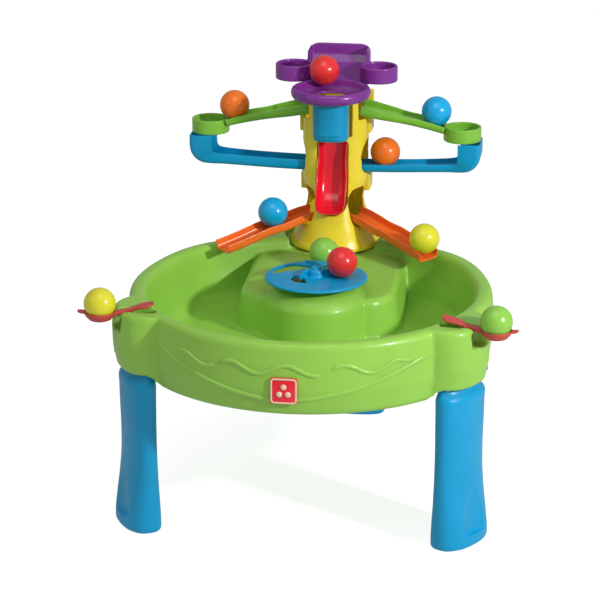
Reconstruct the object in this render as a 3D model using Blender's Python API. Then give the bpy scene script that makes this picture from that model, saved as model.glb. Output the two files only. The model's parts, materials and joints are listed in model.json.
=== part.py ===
"""Ball play table: a round three-lobed tub on three legs, with a ball tower,
three pairs of ramps, a turning wheel, two hinged ball spoons and ten balls.

Frame: metres, +Z up, the front of the table is -Y and its right is +X. The
dimensions are laid out from the centre of the round tub; to_object() moves
every solid by SHIFT_Y, so that the origin is on the floor under the middle of
the whole table.
"""
import math

import bmesh
import bpy
import numpy as np
from mathutils import Matrix, Vector

# ---------------------------------------------------------------- dimensions
SHIFT_Y = 0.0771         # centre of the tub lies this far in front of the origin
SIDES = ((-1, "left"), (1, "right"))

BALL_R = 0.0285
BALL_GAP = 0.0004        # between the wheel and the ball on it

# Tub
TUB_R = 0.328            # outer radius of the round part
RIM_Z = 0.410
RIM_W = 0.028
SKIRT_BOTTOM = 0.280     # lower edge of the apron
SKIRT_T = 0.0045         # wall of the moulding
FLOOR_Z = 0.300          # pool floor
DRAIN_X, DRAIN_Y = 0.135, -0.105

# Lobes
FRONT_LOBES = {"left": -150.0, "right": -30.0}     # direction from the centre, degrees
LOBE_OUT = 0.041         # how far the front lobes stand out
LOBE_HALF = 12.5         # degrees each side
LOBE_LIFT = 0.016        # the front lobes' lower edge sits this much higher
REAR_LOBE_R = 0.118      # rear lobe, round the tower axis

# Legs
LEG_R = 0.3365           # tub centre to a front leg
REAR_LEG_R = 0.4520      # the rear leg sits further out, under the rear lobe
LEG_SCREW_TURN = 5.5     # degrees from the middle of a front lobe
SCREW_STANDOFF = 0.0006  # from the nominal skirt to the underside of a screw head

# Raised deck
DECK_Z = 0.392           # where the tower stands
DECK_LOW_Z = 0.373       # front edge of the deck
DECK_HALF = 0.145
DECK_FRONT_Y = 0.040
DECK_BACK_Y = 0.425
DECK_CORNER = 0.062

# Wheel
WHEEL_Y = 0.067
WHEEL_R = 0.095
WHEEL_Z0, WHEEL_Z1 = 0.402, 0.4075   # underside and top of the disc

# Tower
TOWER_Y = 0.340
TOWER_WALL = 0.0036
FRONT_SHELL_END_Y = TOWER_Y - 0.0063
REAR_SHELL_START_Y = TOWER_Y - 0.0060
TOWER_SCREW_X = 0.0580
TOWER_SCREW_DY = 0.0445  # screws lie this far before and behind the axis
TOWER_SCREWS = [(x, TOWER_Y + dy) for dy in (-TOWER_SCREW_DY, TOWER_SCREW_DY)
                for x in (TOWER_SCREW_X, -TOWER_SCREW_X)]

# Tower top
TOP_Z = 0.716            # reference height of the purple top
FUNNEL_Y = 0.263         # drop hole in front of the tower
LOOP_X, LOOP_Y = 0.081, 0.345

# Ramps
RAMP_Y = 0.338           # line of the upper ramps and troughs, start of the slides
RAMP_WALL = 0.003
CUP_X = 0.2430
CUP_R = 0.0360
CUP_Z0, CUP_Z1 = 0.6035, 0.6310
SLIDE_DIR = math.radians(-38.7)      # the right slide's heading from +X
SLIDE_COS, SLIDE_SIN = math.cos(SLIDE_DIR), math.sin(SLIDE_DIR)
SLIDE_X0 = 0.0105
SLIDE_DEPTH = 0.0185
SLIDE_HALF = 0.0245

# Ball spoons
SPOON_X, SPOON_Y, SPOON_Z = 0.300, -0.181, 0.4045   # pivot
SPOON_TURN = 8.0         # degrees the spoon points forward of the X axis
SPOON_BORE_R = 0.0029
BOWL_OUT = 0.0500        # pivot to the middle of the bowl
BOWL_RIM_Z = 0.4070

# ---------------------------------------------------------------- materials
# name, base colour
LIME = ("lime_plastic", (0.30, 0.62, 0.07))
BLUE = ("blue_plastic", (0.0, 0.31, 0.72))
YELLOW = ("yellow_plastic", (0.95, 0.75, 0.03))
RED = ("red_plastic", (0.83, 0.01, 0.03))
ORANGE = ("orange_plastic", (0.95, 0.13, 0.02))
PURPLE = ("purple_plastic", (0.22, 0.03, 0.30))
GREEN = ("green_plastic", (0.22, 0.55, 0.05))
BRICK = ("brick_red_plastic", (0.60, 0.07, 0.05))
STEEL = ("zinc_steel", (0.55, 0.56, 0.58))
ROUGHNESS = 0.4

# --------------------------------------------------------------------- scene
for old in list(bpy.data.objects):
    bpy.data.objects.remove(old, do_unlink=True)
PIECES = bpy.data.collections.new("ball_play_table")
CUTTERS = bpy.data.collections.new("cutters")
bpy.context.scene.collection.children.link(PIECES)
bpy.context.scene.collection.children.link(CUTTERS)
made_materials = {}


def material(name, rgb):
    if name not in made_materials:
        mat = bpy.data.materials.new(name)
        mat.use_nodes = True
        shader = mat.node_tree.nodes["Principled BSDF"]
        shader.inputs["Base Color"].default_value = (*rgb, 1.0)
        shader.inputs["Roughness"].default_value = ROUGHNESS
        made_materials[name] = mat
    return made_materials[name]


# ------------------------------------------------------------ solid builders
def to_object(name, verts, faces, mat=None, smooth=True):
    """Make a solid; one without a material is a hidden helper for booleans."""
    mesh = bpy.data.meshes.new(name)
    points = [(float(v[0]), float(v[1]) - SHIFT_Y, float(v[2])) for v in verts]
    mesh.from_pydata(points, [], faces)
    bm = bmesh.new()
    bm.from_mesh(mesh)
    bmesh.ops.remove_doubles(bm, verts=bm.verts, dist=1e-7)
    bmesh.ops.recalc_face_normals(bm, faces=bm.faces)
    if bm.calc_volume(signed=True) < 0:
        bmesh.ops.reverse_faces(bm, faces=bm.faces)
    for face in bm.faces:
        face.smooth = smooth
    bm.to_mesh(mesh)
    bm.free()
    mesh.validate()
    if smooth:
        mesh.set_sharp_from_angle(angle=math.radians(38))
    ob = bpy.data.objects.new(name, mesh)
    if mat is None:
        CUTTERS.objects.link(ob)
        ob.hide_render = True
        ob.display_type = "WIRE"
    else:
        PIECES.objects.link(ob)
        mesh.materials.append(material(*mat))
    return ob


def boolean(ob, helper, operation):
    mod = ob.modifiers.new(operation.lower() + "_" + helper.name, "BOOLEAN")
    mod.operation = operation
    mod.solver = "EXACT"
    mod.object = helper


def cut(ob, helper):
    boolean(ob, helper, "DIFFERENCE")


def join(ob, helper):
    boolean(ob, helper, "UNION")


def loft(rings, caps=True):
    """Vertices and faces of a skin over equal-length rings."""
    n = len(rings[0])
    verts = [p for ring in rings for p in ring]
    faces = []
    for i in range(len(rings) - 1):
        for j in range(n):
            k = (j + 1) % n
            faces.append((i * n + j, i * n + k, (i + 1) * n + k, (i + 1) * n + j))
    if caps:
        faces.append(tuple(range(n - 1, -1, -1)))
        faces.append(tuple((len(rings) - 1) * n + j for j in range(n)))
    return verts, faces


def loft_object(name, rings, mat=None):
    return to_object(name, *loft(rings), mat)


def wall_object(name, rings, mat=None):
    """Loft thin sections: each ring is one face of a wall, then the other reversed."""
    n = len(rings[0])
    last = (len(rings) - 1) * n
    verts, faces = loft(rings, caps=False)
    for j in range(n // 2 - 1):
        faces.append((j, n - 1 - j, n - 2 - j, j + 1))
        faces.append((last + j, last + j + 1, last + n - 2 - j, last + n - 1 - j))
    return to_object(name, verts, faces, mat)


def lathe(name, profile, origin, mat, steps, axis=None):
    """Solid of revolution from (radius, z) points; it closes itself off the axis."""
    verts, rows = [], []
    for r, z in profile:
        if r < 1e-6:
            rows.append([len(verts)] * steps)
            verts.append((0.0, 0.0, z))
        else:
            rows.append([len(verts) + s for s in range(steps)])
            for s in range(steps):
                a = 2 * math.pi * s / steps
                verts.append((r * math.cos(a), r * math.sin(a), z))
    pairs = list(zip(rows, rows[1:]))
    if profile[0][0] > 1e-6 or profile[-1][0] > 1e-6:
        pairs.append((rows[-1], rows[0]))
    faces = []
    for row, following in pairs:
        for s in range(steps):
            t = (s + 1) % steps
            corners = tuple(dict.fromkeys((row[s], row[t], following[t], following[s])))
            if len(corners) > 2:
                faces.append(corners)
    turn = Matrix.Identity(4)
    if axis is not None:
        turn = Vector((0, 0, 1)).rotation_difference(Vector(axis)).to_matrix().to_4x4()
    place = Matrix.Translation(origin) @ turn
    return to_object(name, [place @ Vector(v) for v in verts], faces, mat)


def bore(name, radius, top, bottom, origin, steps, axis=None):
    """Cylinder helper for a hole, from top to bottom along its axis."""
    profile = [(0, top), (radius, top), (radius, bottom), (0, bottom)]
    return lathe(name, profile, origin, None, steps, axis)


def box(name, low, high, turn=0.0, about=(0, 0)):
    """Box helper, turned in plan by degrees about a point."""
    x0, y0, z0 = low
    x1, y1, z1 = high
    verts = [(x, y, z) for z in (z0, z1) for x, y in ((x0, y0), (x1, y0), (x1, y1), (x0, y1))]
    if turn:
        c, s = math.cos(math.radians(turn)), math.sin(math.radians(turn))
        ax, ay = about
        verts = [(ax + c * (x - ax) - s * (y - ay), ay + s * (x - ax) + c * (y - ay), z)
                 for x, y, z in verts]
    faces = [(3, 2, 1, 0), (4, 5, 6, 7), (0, 1, 5, 4), (1, 2, 6, 5), (2, 3, 7, 6), (3, 0, 4, 7)]
    return to_object(name, verts, faces, smooth=False)


def rounded_rect(half_x, y0, y1, radius, steps=4):
    """Counter-clockwise outline of a rectangle with round corners."""
    r = max(0.002, min(radius, half_x - 0.001, (y1 - y0) / 2 - 0.001))
    points = []
    for cx, cy, start in ((half_x - r, y0 + r, -90), (half_x - r, y1 - r, 0),
                          (-half_x + r, y1 - r, 90), (-half_x + r, y0 + r, 180)):
        for i in range(steps + 1):
            a = math.radians(start + 90.0 * i / steps)
            points.append((cx + r * math.cos(a), cy + r * math.sin(a)))
    return points


def smooth_step(t):
    t = min(1.0, max(0.0, t))
    return t * t * (3 - 2 * t)


def signed_power(value, power):
    return math.copysign(abs(value) ** power, value)


def raised(profile, z):
    """Profile whose heights are counted from z."""
    return [(r, z + dz) for r, dz in profile]


def polar_point(deg, radius, z, across=0.0):
    """Point in a direction from the tub centre, then sideways across it."""
    c, s = math.cos(math.radians(deg)), math.sin(math.radians(deg))
    return (radius * c - across * s, radius * s + across * c, z)


# --------------------------------------------------------------- tub outline
# Directions of the outline's points: finer at the lobes
OUTLINE_DEGREES = sorted(
    [float(t) for t in range(0, 360, 6) if not (66 < t < 114 and t != 90)]
    + [lobe + t for lobe in (210.0, 330.0)
       for t in (-LOBE_HALF, -11.0, -9.0, -3.0, 3.0, 9.0, 11.0, LOBE_HALF)]
    + [70.3, 71.3, 73.5, 77.0, 80.5, 85.0, 95.0, 99.5, 103.0, 106.5, 108.7, 109.7])


def wrap(deg):
    return (deg + 180.0) % 360.0 - 180.0


def round_r(deg):
    """Outer radius of the tub without its lobes; a little fuller at the rear."""
    r = TUB_R
    for bulge in (42.0, 138.0):
        r += 0.012 * math.exp(-((wrap(deg - bulge)) / 17.0) ** 2)
    return r


def pool_r(deg, offset):
    """Radius of the pool wall, inside the rim."""
    return round_r(deg) - RIM_W + offset


def lobe_share(deg):
    """1 in the middle of a front lobe, falling to 0 at its ends."""
    share = 0.0
    for lobe in FRONT_LOBES.values():
        f = abs(wrap(deg - lobe)) / LOBE_HALF
        if f < 1:
            share = 1 - f ** 3
    return share


def rear_reach(deg):
    """Distance from the tub centre to the rear lobe's circle, or 0."""
    c, s = math.cos(math.radians(deg)), math.sin(math.radians(deg))
    d = REAR_LOBE_R * REAR_LOBE_R - (TOWER_Y * c) ** 2
    if s <= 0 or d <= 0:
        return 0.0
    return TOWER_Y * s + math.sqrt(d)


def outer_r(deg, offset):
    return max(round_r(deg) + LOBE_OUT * lobe_share(deg), rear_reach(deg)) + offset


def outer_z(deg, z):
    """Lift the lower edge under the front lobes."""
    lift = min(1.0, lobe_share(deg) * 2.5)
    return z + LOBE_LIFT * lift * (RIM_Z - z) / (RIM_Z - SKIRT_BOTTOM)


def outline_ring(radius_at, z_at):
    return [polar_point(t, radius_at(t), z_at(t)) for t in OUTLINE_DEGREES]


# ----------------------------------------------------------------------- tub
# offset from the outer outline, z
SKIRT = [(-0.010, SKIRT_BOTTOM), (-0.004, SKIRT_BOTTOM + 0.007), (0.003, 0.325),
         (0.004, 0.370), (0.001, 0.400), (-0.0025, 0.4070), (-0.008, RIM_Z)]

# offset from the pool wall, z
POOL = [(-0.052, FLOOR_Z), (-0.034, 0.3040), (-0.020, 0.320), (-0.010, 0.360),
        (-0.003, 0.400), (0.002, 0.4075), (0.008, 0.4112), (0.008, 0.43)]

# Underside cavity: offset, z, drop of the ceiling at the rear lobe
UNDER_SKIRT = [(-0.012 - SKIRT_T, 0.26, 0.0), (0.0005 - SKIRT_T, 0.330, 0.0),
               (-SKIRT_T, 0.398, 0.013)]                      # from the outer outline
UNDER_POOL = [(0.0105, 0.398, 0.013), (-0.002, 0.385, 0.004),
              (-0.0060, 0.358, 0.0), (-0.0155, 0.317, 0.0), (-0.031, 0.2995, 0.0),
              (-0.052, FLOOR_Z - 0.005, 0.0)]                 # from the pool wall

# Deck: foot as (inset, z), then (inset, depth below the deck surface)
DECK_FOOT = (-0.010, 0.2985)
DECK_EDGE = [(0.0, 0.012), (0.003, 0.005), (0.010, 0.0005),
             (0.040, 0.0), (0.075, 0.0), (0.115, 0.0)]
DECK_HOLLOW_FOOT = (-0.005, 0.26)
DECK_HOLLOW_EDGE = [(0.002, 0.014), (0.009, 0.006), (0.040, 0.005),
                    (0.075, 0.005), (0.113, 0.005)]

# Pedestal under the wheel: radius, z
PEDESTAL = [(0.0, 0.394), (0.063, 0.394), (0.078, 0.387), (0.088, 0.375),
            (0.0945, 0.364), (0.0965, 0.345), (0.101, 0.2985), (0.0, 0.2985)]
PEDESTAL_HOLLOW = [(0.014, 0.3885), (0.061, 0.3885), (0.0745, 0.382), (0.0835, 0.371),
                   (0.0895, 0.360), (0.095, 0.26), (0.014, 0.26)]
TOWER_SEAT = [(0.0, 0.43), (0.0975, 0.43), (0.0965, DECK_Z), (0.0, DECK_Z)]

# Stepped hole for a leg screw: radius, distance outwards along the screw
SKIRT_SCREW_HOLE = [(0, 0.03), (0.0047, 0.03), (0.0047, 0.0),
                    (0.0022, 0.0), (0.0022, -0.03), (0, -0.03)]


def deck_surface_z(y):
    return DECK_LOW_Z + (DECK_Z - DECK_LOW_Z) * smooth_step((y - 0.075) / 0.165)


def deck_block(name, shrink, foot, edge):
    """Rounded block with draft whose top rises towards the tower."""
    def outline(inset):
        return rounded_rect(DECK_HALF - inset - shrink, DECK_FRONT_Y + inset + shrink,
                            DECK_BACK_Y - max(0.0, inset) - shrink, DECK_CORNER - inset)

    foot_inset, foot_z = foot
    rings = [[(x, y, foot_z) for x, y in outline(foot_inset)]]
    for inset, depth in edge:
        rings.append([(x, y, deck_surface_z(y) - depth) for x, y in outline(inset)])
    return loft_object(name, rings)


def underside_cavity():
    def rear_share(deg):
        return smooth_step((20.0 - abs(wrap(deg - 90.0))) / 4.0)

    rings = []
    for radius_of, table in ((outer_r, UNDER_SKIRT), (pool_r, UNDER_POOL)):
        for offset, z, drop in table:
            rings.append(outline_ring(lambda t: radius_of(t, offset),
                                      lambda t: z - drop * rear_share(t)))
    return loft_object("cut_underside", rings)


def lobe_liner(tag, lobe):
    """Block that gives a front lobe its floor and walls."""
    inner_r = 0.2995
    rings = []
    for z, offset in ((0.3660, -0.0020), (0.4030, -0.0030)):
        ring = [polar_point(lobe + a, outer_r(lobe + a, offset), z)
                for a in (-8.0, -6.0, -3.0, 0.0, 3.0, 6.0, 8.0)]
        ring += [polar_point(lobe + a, inner_r, z) for a in (8.0, 4.0, 0.0, -4.0, -8.0)]
        rings.append(ring)
    return loft_object("add_liner_" + tag, rings)


def cut_spoon_seat(ob, side, tag):
    """Slot, inner bay, outer pocket and pin hole for a spoon in its front lobe."""
    px, py = side * SPOON_X, SPOON_Y
    bay_x0, bay_x1 = sorted((px - side * 0.0485, px - side * 0.0085))
    pocket_x = px + side * 0.030
    for name, x0, x1, half_y, z0, z1 in (
            ("cut_notch_", px - 0.034, px + 0.034, 0.0115, 0.386, 0.43),
            ("cut_bay_", bay_x0, bay_x1, 0.0168, 0.3870, 0.4310),
            ("cut_pocket_", pocket_x - 0.022, pocket_x + 0.022, 0.019, 0.372, 0.401)):
        cut(ob, box(name + tag, (x0, py - half_y, z0), (x1, py + half_y, z1),
                    turn=side * -SPOON_TURN, about=(px, py)))
    cut(ob, bore("cut_pin_" + tag, SPOON_BORE_R, 0.0185, -0.0185,
                 (px, py, SPOON_Z), 14, spoon_axis(side)))


def tub():
    ob = loft_object("tub", [outline_ring(lambda t: outer_r(t, offset), lambda t: outer_z(t, z))
                             for offset, z in SKIRT], LIME)
    cut(ob, loft_object("cut_pool", [outline_ring(lambda t: pool_r(t, offset), lambda t: z)
                                     for offset, z in POOL]))
    join(ob, deck_block("add_deck", 0.0, DECK_FOOT, DECK_EDGE))
    join(ob, lathe("add_pedestal", PEDESTAL, (0, WHEEL_Y, 0), None, 32))
    # flat recess that the tower stands in
    cut(ob, lathe("cut_tower_seat", TOWER_SEAT, (0, TOWER_Y, 0), None, 36))

    # open underside
    cut(ob, underside_cavity())
    cut(ob, deck_block("cut_deck_inside", 0.003, DECK_HOLLOW_FOOT, DECK_HOLLOW_EDGE))
    cut(ob, lathe("cut_pedestal_inside", PEDESTAL_HOLLOW, (0, WHEEL_Y, 0), None, 32))

    for tag, lobe in FRONT_LOBES.items():
        join(ob, lobe_liner(tag, lobe))
    cut(ob, bore("cut_drain", 0.0105, 0.32, 0.28, (DRAIN_X, DRAIN_Y, 0), 20))
    for side, tag in SIDES:
        cut_spoon_seat(ob, side, tag)
    for tag, seat, outward in leg_screw_places():
        cut(ob, lathe("cut_skirt_screw_" + tag, SKIRT_SCREW_HOLE, seat, None, 10, outward))
    for i, (x, y) in enumerate(TOWER_SCREWS):
        cut(ob, bore("cut_deck_screw_%d" % i, 0.0024, 0.40, 0.375, (x, y, 0), 10))
    cut(ob, bore("cut_post", 0.0055, 0.40, 0.352, (0, WHEEL_Y, 0), 16))


def drain_plug():
    profile = [(0.0, 0.0060), (0.0040, 0.0058), (0.0050, 0.0030), (0.0140, 0.0024),
               (0.0150, 0.0005), (0.0100, 0.0005), (0.0096, -0.0080), (0.0080, -0.0095),
               (0.0, -0.0095)]
    lathe("drain_plug", raised(profile, FLOOR_Z), (DRAIN_X, DRAIN_Y, 0), BLUE, 24)


def badge():
    """Plain rounded plaque on the front of the apron, bent to its curve."""
    front = -90.0
    half, centre_z = 0.0235, 0.3285
    r = outer_r(front, 0.0)
    rings = []
    for offset, inset in ((0.0048, 0.0), (0.0070, 0.0), (0.0078, 0.0014)):
        outline = rounded_rect(half - inset, -half + inset, half - inset, 0.005)
        rings.append([polar_point(front, r + offset - x * x / (2 * r), centre_z + z, x)
                      for x, z in outline])
    loft_object("badge_plate", rings, RED)


# ---------------------------------------------------------------------- legs
# z, half thickness, half width, outward lean
LEG_PROFILE = [
    (0.0, 0.0310, 0.0620, 0.0035), (0.003, 0.0335, 0.0645, 0.0035),
    (0.012, 0.0340, 0.0655, 0.0035), (0.045, 0.0318, 0.0645, 0.0024),
    (0.085, 0.0276, 0.0625, 0.0008), (0.130, 0.0242, 0.0610, -0.0006),
    (0.180, 0.0234, 0.0606, -0.0006), (0.235, 0.0243, 0.0612, 0.0),
    (0.262, 0.0246, 0.0612, 0.0), (0.2805, 0.0246, 0.0610, 0.0),
    (0.2935, 0.0226, 0.0550, 0.0), (0.315, 0.0222, 0.0540, 0.0),
    (0.352, 0.0214, 0.0530, 0.0)]

# object name, tag of its screws, direction, distance from the tub centre
LEGS = [("front_left_leg", "left", FRONT_LOBES["left"], LEG_R),
        ("front_right_leg", "right", FRONT_LOBES["right"], LEG_R),
        ("rear_leg", "rear", 90.0, REAR_LEG_R)]


def leg_screw_places():
    """Tag, point under the head and outward direction of every leg screw."""
    places = []
    for side, tag in SIDES:
        deg = FRONT_LOBES[tag] + side * LEG_SCREW_TURN
        r = outer_r(deg, SCREW_STANDOFF)
        outward = polar_point(deg, 1.0, 0.0)
        for letter, z in (("a", 0.322), ("b", 0.342)):
            places.append((tag + "_" + letter, (r * outward[0], r * outward[1], z), outward))
    for letter, x in (("a", 0.022), ("b", -0.022)):
        y = TOWER_Y + math.sqrt((REAR_LOBE_R + SCREW_STANDOFF) ** 2 - x * x)
        places.append(("rear_" + letter, (x, y, 0.335), (0.0, 1.0, 0.0)))
    return places


def leg_section(deg, leg_r, half_thick, half_wide, lean, z, steps=24, power=2.6):
    """Superellipse bent to follow the curve of the tub."""
    ring = []
    for i in range(steps):
        t = 2 * math.pi * i / steps
        out = half_thick * signed_power(math.cos(t), 2 / power)
        across = half_wide * signed_power(math.sin(t), 2 / power)
        sag = (across * across) / (2 * leg_r) * 0.9
        ring.append(polar_point(deg, leg_r + out - sag + lean, z, across))
    return ring


def leg_scoop(name, deg, leg_r):
    """Long tongue-shaped hollow for the outer face."""
    full_width = 0.040
    rings = []
    for k in range(9):
        z = 0.022 + 0.165 * k / 8.0
        width = full_width * math.sqrt(1 - (abs(k - 2.6) / 5.6) ** 2.2)
        ring = []
        for i in range(16):
            t = 2 * math.pi * i / 16
            radius = leg_r + 0.0375 + 0.0125 * math.cos(t) * (width / full_width)
            ring.append(polar_point(deg, radius, z, width * math.sin(t)))
        rings.append(ring)
    return loft_object("cut_scoop_" + name, rings)


def leg(name, screw_tag, deg, leg_r):
    """Leg with a slightly waisted section; its top is held inside the apron."""
    rear = screw_tag == "rear"
    taper_start = 0.262 if rear else 0.2805
    rings = []
    for z, half_thick, half_wide, lean in LEG_PROFILE:
        widening = (1.2 if z > 0.27 else 1.36) if rear else 1.0
        taper = smooth_step((z - taper_start) / 0.013)
        ring = []
        for x, y, _ in leg_section(deg, leg_r, half_thick, half_wide * widening, lean, z):
            radius = math.hypot(x, y)
            limit = outer_r(math.degrees(math.atan2(y, x)), -0.0160)
            if rear:
                limit = min(limit, 0.4420)
            if taper > 0 and radius > limit:
                held = radius + (limit - radius) * taper
                x, y = x * held / radius, y * held / radius
            ring.append((x, y, z))
        rings.append(ring)
    ob = loft_object(name, rings, BLUE)
    cut(ob, leg_scoop(name, deg, leg_r))
    for tag, seat, outward in leg_screw_places():
        if tag.startswith(screw_tag):
            cut(ob, bore("cut_%s_%s" % (name, tag), 0.0022, 0.003, -0.0315, seat, 10, outward))


def screw(name, seat, outward, shank=0.0265):
    """Pan head screw; seat is under the head, outward points from shank to head."""
    head_r, shank_r, head = 0.0042, 0.0018, 0.0022
    profile = [(0.0, head), (head_r * 0.72, head), (head_r, 0.0004),
               (shank_r, 0.0004), (shank_r, -shank), (0.0, -shank)]
    lathe(name, profile, seat, STEEL, 8, outward)


def tower_screws():
    """Screws driven up through the deck into the tower foot."""
    tags = ("front_right", "front_left", "rear_right", "rear_left")
    for tag, (x, y) in zip(tags, TOWER_SCREWS):
        z = 0.3836 if y < TOWER_Y else 0.3866
        screw("tower_screw_" + tag, (x, y, z), (0.0, 0.0, -1.0), shank=0.0255)


# --------------------------------------------------------------------- ramps
# x, floor z, depth, half width
UPPER_RAMP = [
    (0.0480, 0.6490, 0.0225, 0.0315), (0.065, 0.6465, 0.0215, 0.0315),
    (0.085, 0.6430, 0.0195, 0.0315), (0.110, 0.6390, 0.0175, 0.0290),
    (0.135, 0.6340, 0.0165, 0.0245), (0.160, 0.6292, 0.0165, 0.0245),
    (0.185, 0.6236, 0.0163, 0.0245), (0.208, 0.6175, 0.0150, 0.0245)]

# Return trough: floor x, floor z, rail x, rail z, half width.
# Along the run the trough's depth is added to the rail z.
TROUGH_RUN = [
    (0.0440, 0.5370, 0.0440, 0.5370, 0.0235), (0.0700, 0.5375, 0.0700, 0.5375, 0.0235),
    (0.1100, 0.5385, 0.1100, 0.5385, 0.0235), (0.1500, 0.5400, 0.1500, 0.5400, 0.0235),
    (0.1900, 0.5420, 0.1895, 0.5420, 0.0245), (0.2200, 0.5435, 0.2180, 0.5440, 0.0260),
    (0.2440, 0.5445, 0.2300, 0.5455, 0.0290), (0.2581, 0.5474, 0.2335, 0.5475, 0.0310),
    (0.2695, 0.5550, 0.2355, 0.5500, 0.0330), (0.2774, 0.5670, 0.2365, 0.5540, 0.0345)]
TROUGH_MOUTH = [
    (0.2800, 0.5805, 0.2370, 0.5830, 0.0355), (0.2800, 0.5920, 0.2370, 0.5930, 0.0360),
    (0.2800, 0.6020, 0.2370, 0.6020, 0.0365)]
TROUGH_DEPTH = {"left": 0.0215, "right": 0.0165}

# Lower slide: distance along its heading, and floor z there
SLIDE_DISTANCE = [0.030, 0.055, 0.080, 0.110, 0.140, 0.170, 0.200, 0.236]
SLIDE_FLOOR_Z = [0.4470, 0.4445, 0.4395, 0.4325, 0.4290, 0.4215, 0.4140, 0.4065]

# Front slide, top to foot: y, z, depth, half width
FRONT_SLIDE = [
    (0.3120, 0.6080, 0.0150, 0.0272), (0.3110, 0.5900, 0.0195, 0.0272),
    (0.3085, 0.5600, 0.0245, 0.0272), (0.3045, 0.5350, 0.0275, 0.0290),
    (0.2980, 0.5120, 0.0290, 0.0290), (0.2880, 0.4930, 0.0285, 0.0290),
    (0.2740, 0.4790, 0.0260, 0.0290), (0.2600, 0.4725, 0.0215, 0.0290),
    (0.2480, 0.4705, 0.0165, 0.0272)]


def u_section(half, depth, corner, wall, steps):
    """(across, up) points of an open U with round corners, floor underside at 0."""
    inner = max(corner - wall, 0.001)
    outside, inside = [(-half, depth)], [(-half + wall, depth)]
    for sign, start in ((-1, 180), (1, 270)):
        for i in range(steps + 1):
            a = math.radians(start + 90.0 * i / steps)
            c, s = math.cos(a), math.sin(a)
            outside.append((sign * (half - corner) + corner * c, corner + corner * s))
            inside.append((sign * (half - wall - inner) + inner * c, wall + inner + inner * s))
    outside.append((half, depth))
    inside.append((half - wall, depth))
    return outside + inside[::-1]


def channel(name, stations, wall, mat, steps=3):
    """Sweep a U through stations (floor point, side, up, half width, depth, corner)."""
    rings = []
    for point, side, up, half, depth, corner in stations:
        point, side, up = np.array(point, float), np.array(side, float), np.array(up, float)
        rings.append([point + side * s + up * u
                      for s, u in u_section(half, depth, corner, wall, steps)])
    return wall_object(name, rings, mat)


def path_tangent(points, i):
    before = np.array(points[max(0, i - 1)], float)
    after = np.array(points[min(len(points) - 1, i + 1)], float)
    return after - before


def upright_frame(tangent, side):
    """Unit side and upward vectors square to a path."""
    tangent = tangent / np.linalg.norm(tangent)
    side = np.array(side, float)
    side -= tangent * np.dot(side, tangent)
    side /= np.linalg.norm(side)
    up = np.cross(side, tangent)
    return side, (-up if up[2] < 0 else up)


def upper_ramp(side, tag):
    """Channel from the tower out to a ring-shaped cup."""
    points = [(side * x, RAMP_Y, z) for x, z, _, _ in UPPER_RAMP]
    stations = []
    for i, (_, _, depth, half) in enumerate(UPPER_RAMP):
        across, up = upright_frame(path_tangent(points, i), (0, 1, 0))
        stations.append((points[i], across, up, half, depth, 0.010))
    ob = channel(tag + "_upper_ramp", stations, RAMP_WALL, GREEN)
    centre = (side * CUP_X, RAMP_Y, 0)
    cut(ob, bore("cut_cup_" + tag, CUP_R - 0.0022, 0.66, 0.58, centre, 23))
    ring = [(CUP_R - 0.0045, CUP_Z1 - 0.001), (CUP_R - 0.002, CUP_Z1), (CUP_R, CUP_Z1 - 0.001),
            (CUP_R, CUP_Z0 + 0.001), (CUP_R - 0.001, CUP_Z0), (CUP_R - 0.0045, CUP_Z0)]
    join(ob, lathe("add_cup_" + tag, ring, centre, None, 28))


def return_trough(side, tag):
    """Nearly level trough that turns up into a deep catcher under the cup."""
    stations = []
    for table, rise in ((TROUGH_RUN, TROUGH_DEPTH[tag]), (TROUGH_MOUTH, 0.0)):
        for floor_x, floor_z, rail_x, rail_z, half in table:
            floor = np.array((side * floor_x, RAMP_Y, floor_z))
            rail = np.array((side * rail_x, RAMP_Y, rail_z + rise))
            depth = float(np.linalg.norm(rail - floor))
            stations.append((floor, (0, 1, 0), (rail - floor) / depth, half, depth, 0.0095))
    channel(tag + "_return_trough", stations, RAMP_WALL, BLUE)


def slide_point(side, distance, z):
    return (side * (SLIDE_X0 + distance * SLIDE_COS), RAMP_Y + distance * SLIDE_SIN, z)


def lower_slide(side, tag):
    """Channel from the tower foot, outwards and forwards."""
    points = [slide_point(side, d, z) for d, z in zip(SLIDE_DISTANCE, SLIDE_FLOOR_Z)]
    stations = []
    for i, point in enumerate(points):
        tangent = path_tangent(points, i)
        across, up = upright_frame(tangent, (-tangent[1], tangent[0], 0))
        stations.append((point, across, up, SLIDE_HALF, SLIDE_DEPTH, 0.0090))
    channel(tag + "_lower_slide", stations, RAMP_WALL, ORANGE)


def ball_on_slide(side, distance):
    """Centre of a ball resting on the walls of a lower slide."""
    reach = 0.012        # the slope is taken this far each way
    z0 = np.interp(distance - reach, SLIDE_DISTANCE, SLIDE_FLOOR_Z)
    z1 = np.interp(distance + reach, SLIDE_DISTANCE, SLIDE_FLOOR_Z)
    slope = math.atan2(z0 - z1, 2 * reach)
    half = SLIDE_HALF - RAMP_WALL
    lift = SLIDE_DEPTH + math.sqrt(BALL_R ** 2 - half ** 2) + 0.0009
    return slide_point(side, distance + lift * math.sin(slope),
                       float((z0 + z1) / 2 + lift * math.cos(slope)))


def front_slide():
    """Steep chute inside the tower's front opening, curving out at the foot."""
    points = [(0.0, y, z) for y, z, _, _ in FRONT_SLIDE]
    stations = []
    for i, (_, _, depth, half) in enumerate(FRONT_SLIDE):
        tangent = path_tangent(points, i)
        tangent /= np.linalg.norm(tangent)
        up = (0.0, tangent[2], -tangent[1])     # out of the chute, to the front and up
        stations.append((points[i], (1, 0, 0), up, half, depth, min(0.0190, depth - 0.001)))
    channel("front_slide", stations, 0.0026, RED, steps=4)


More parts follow.
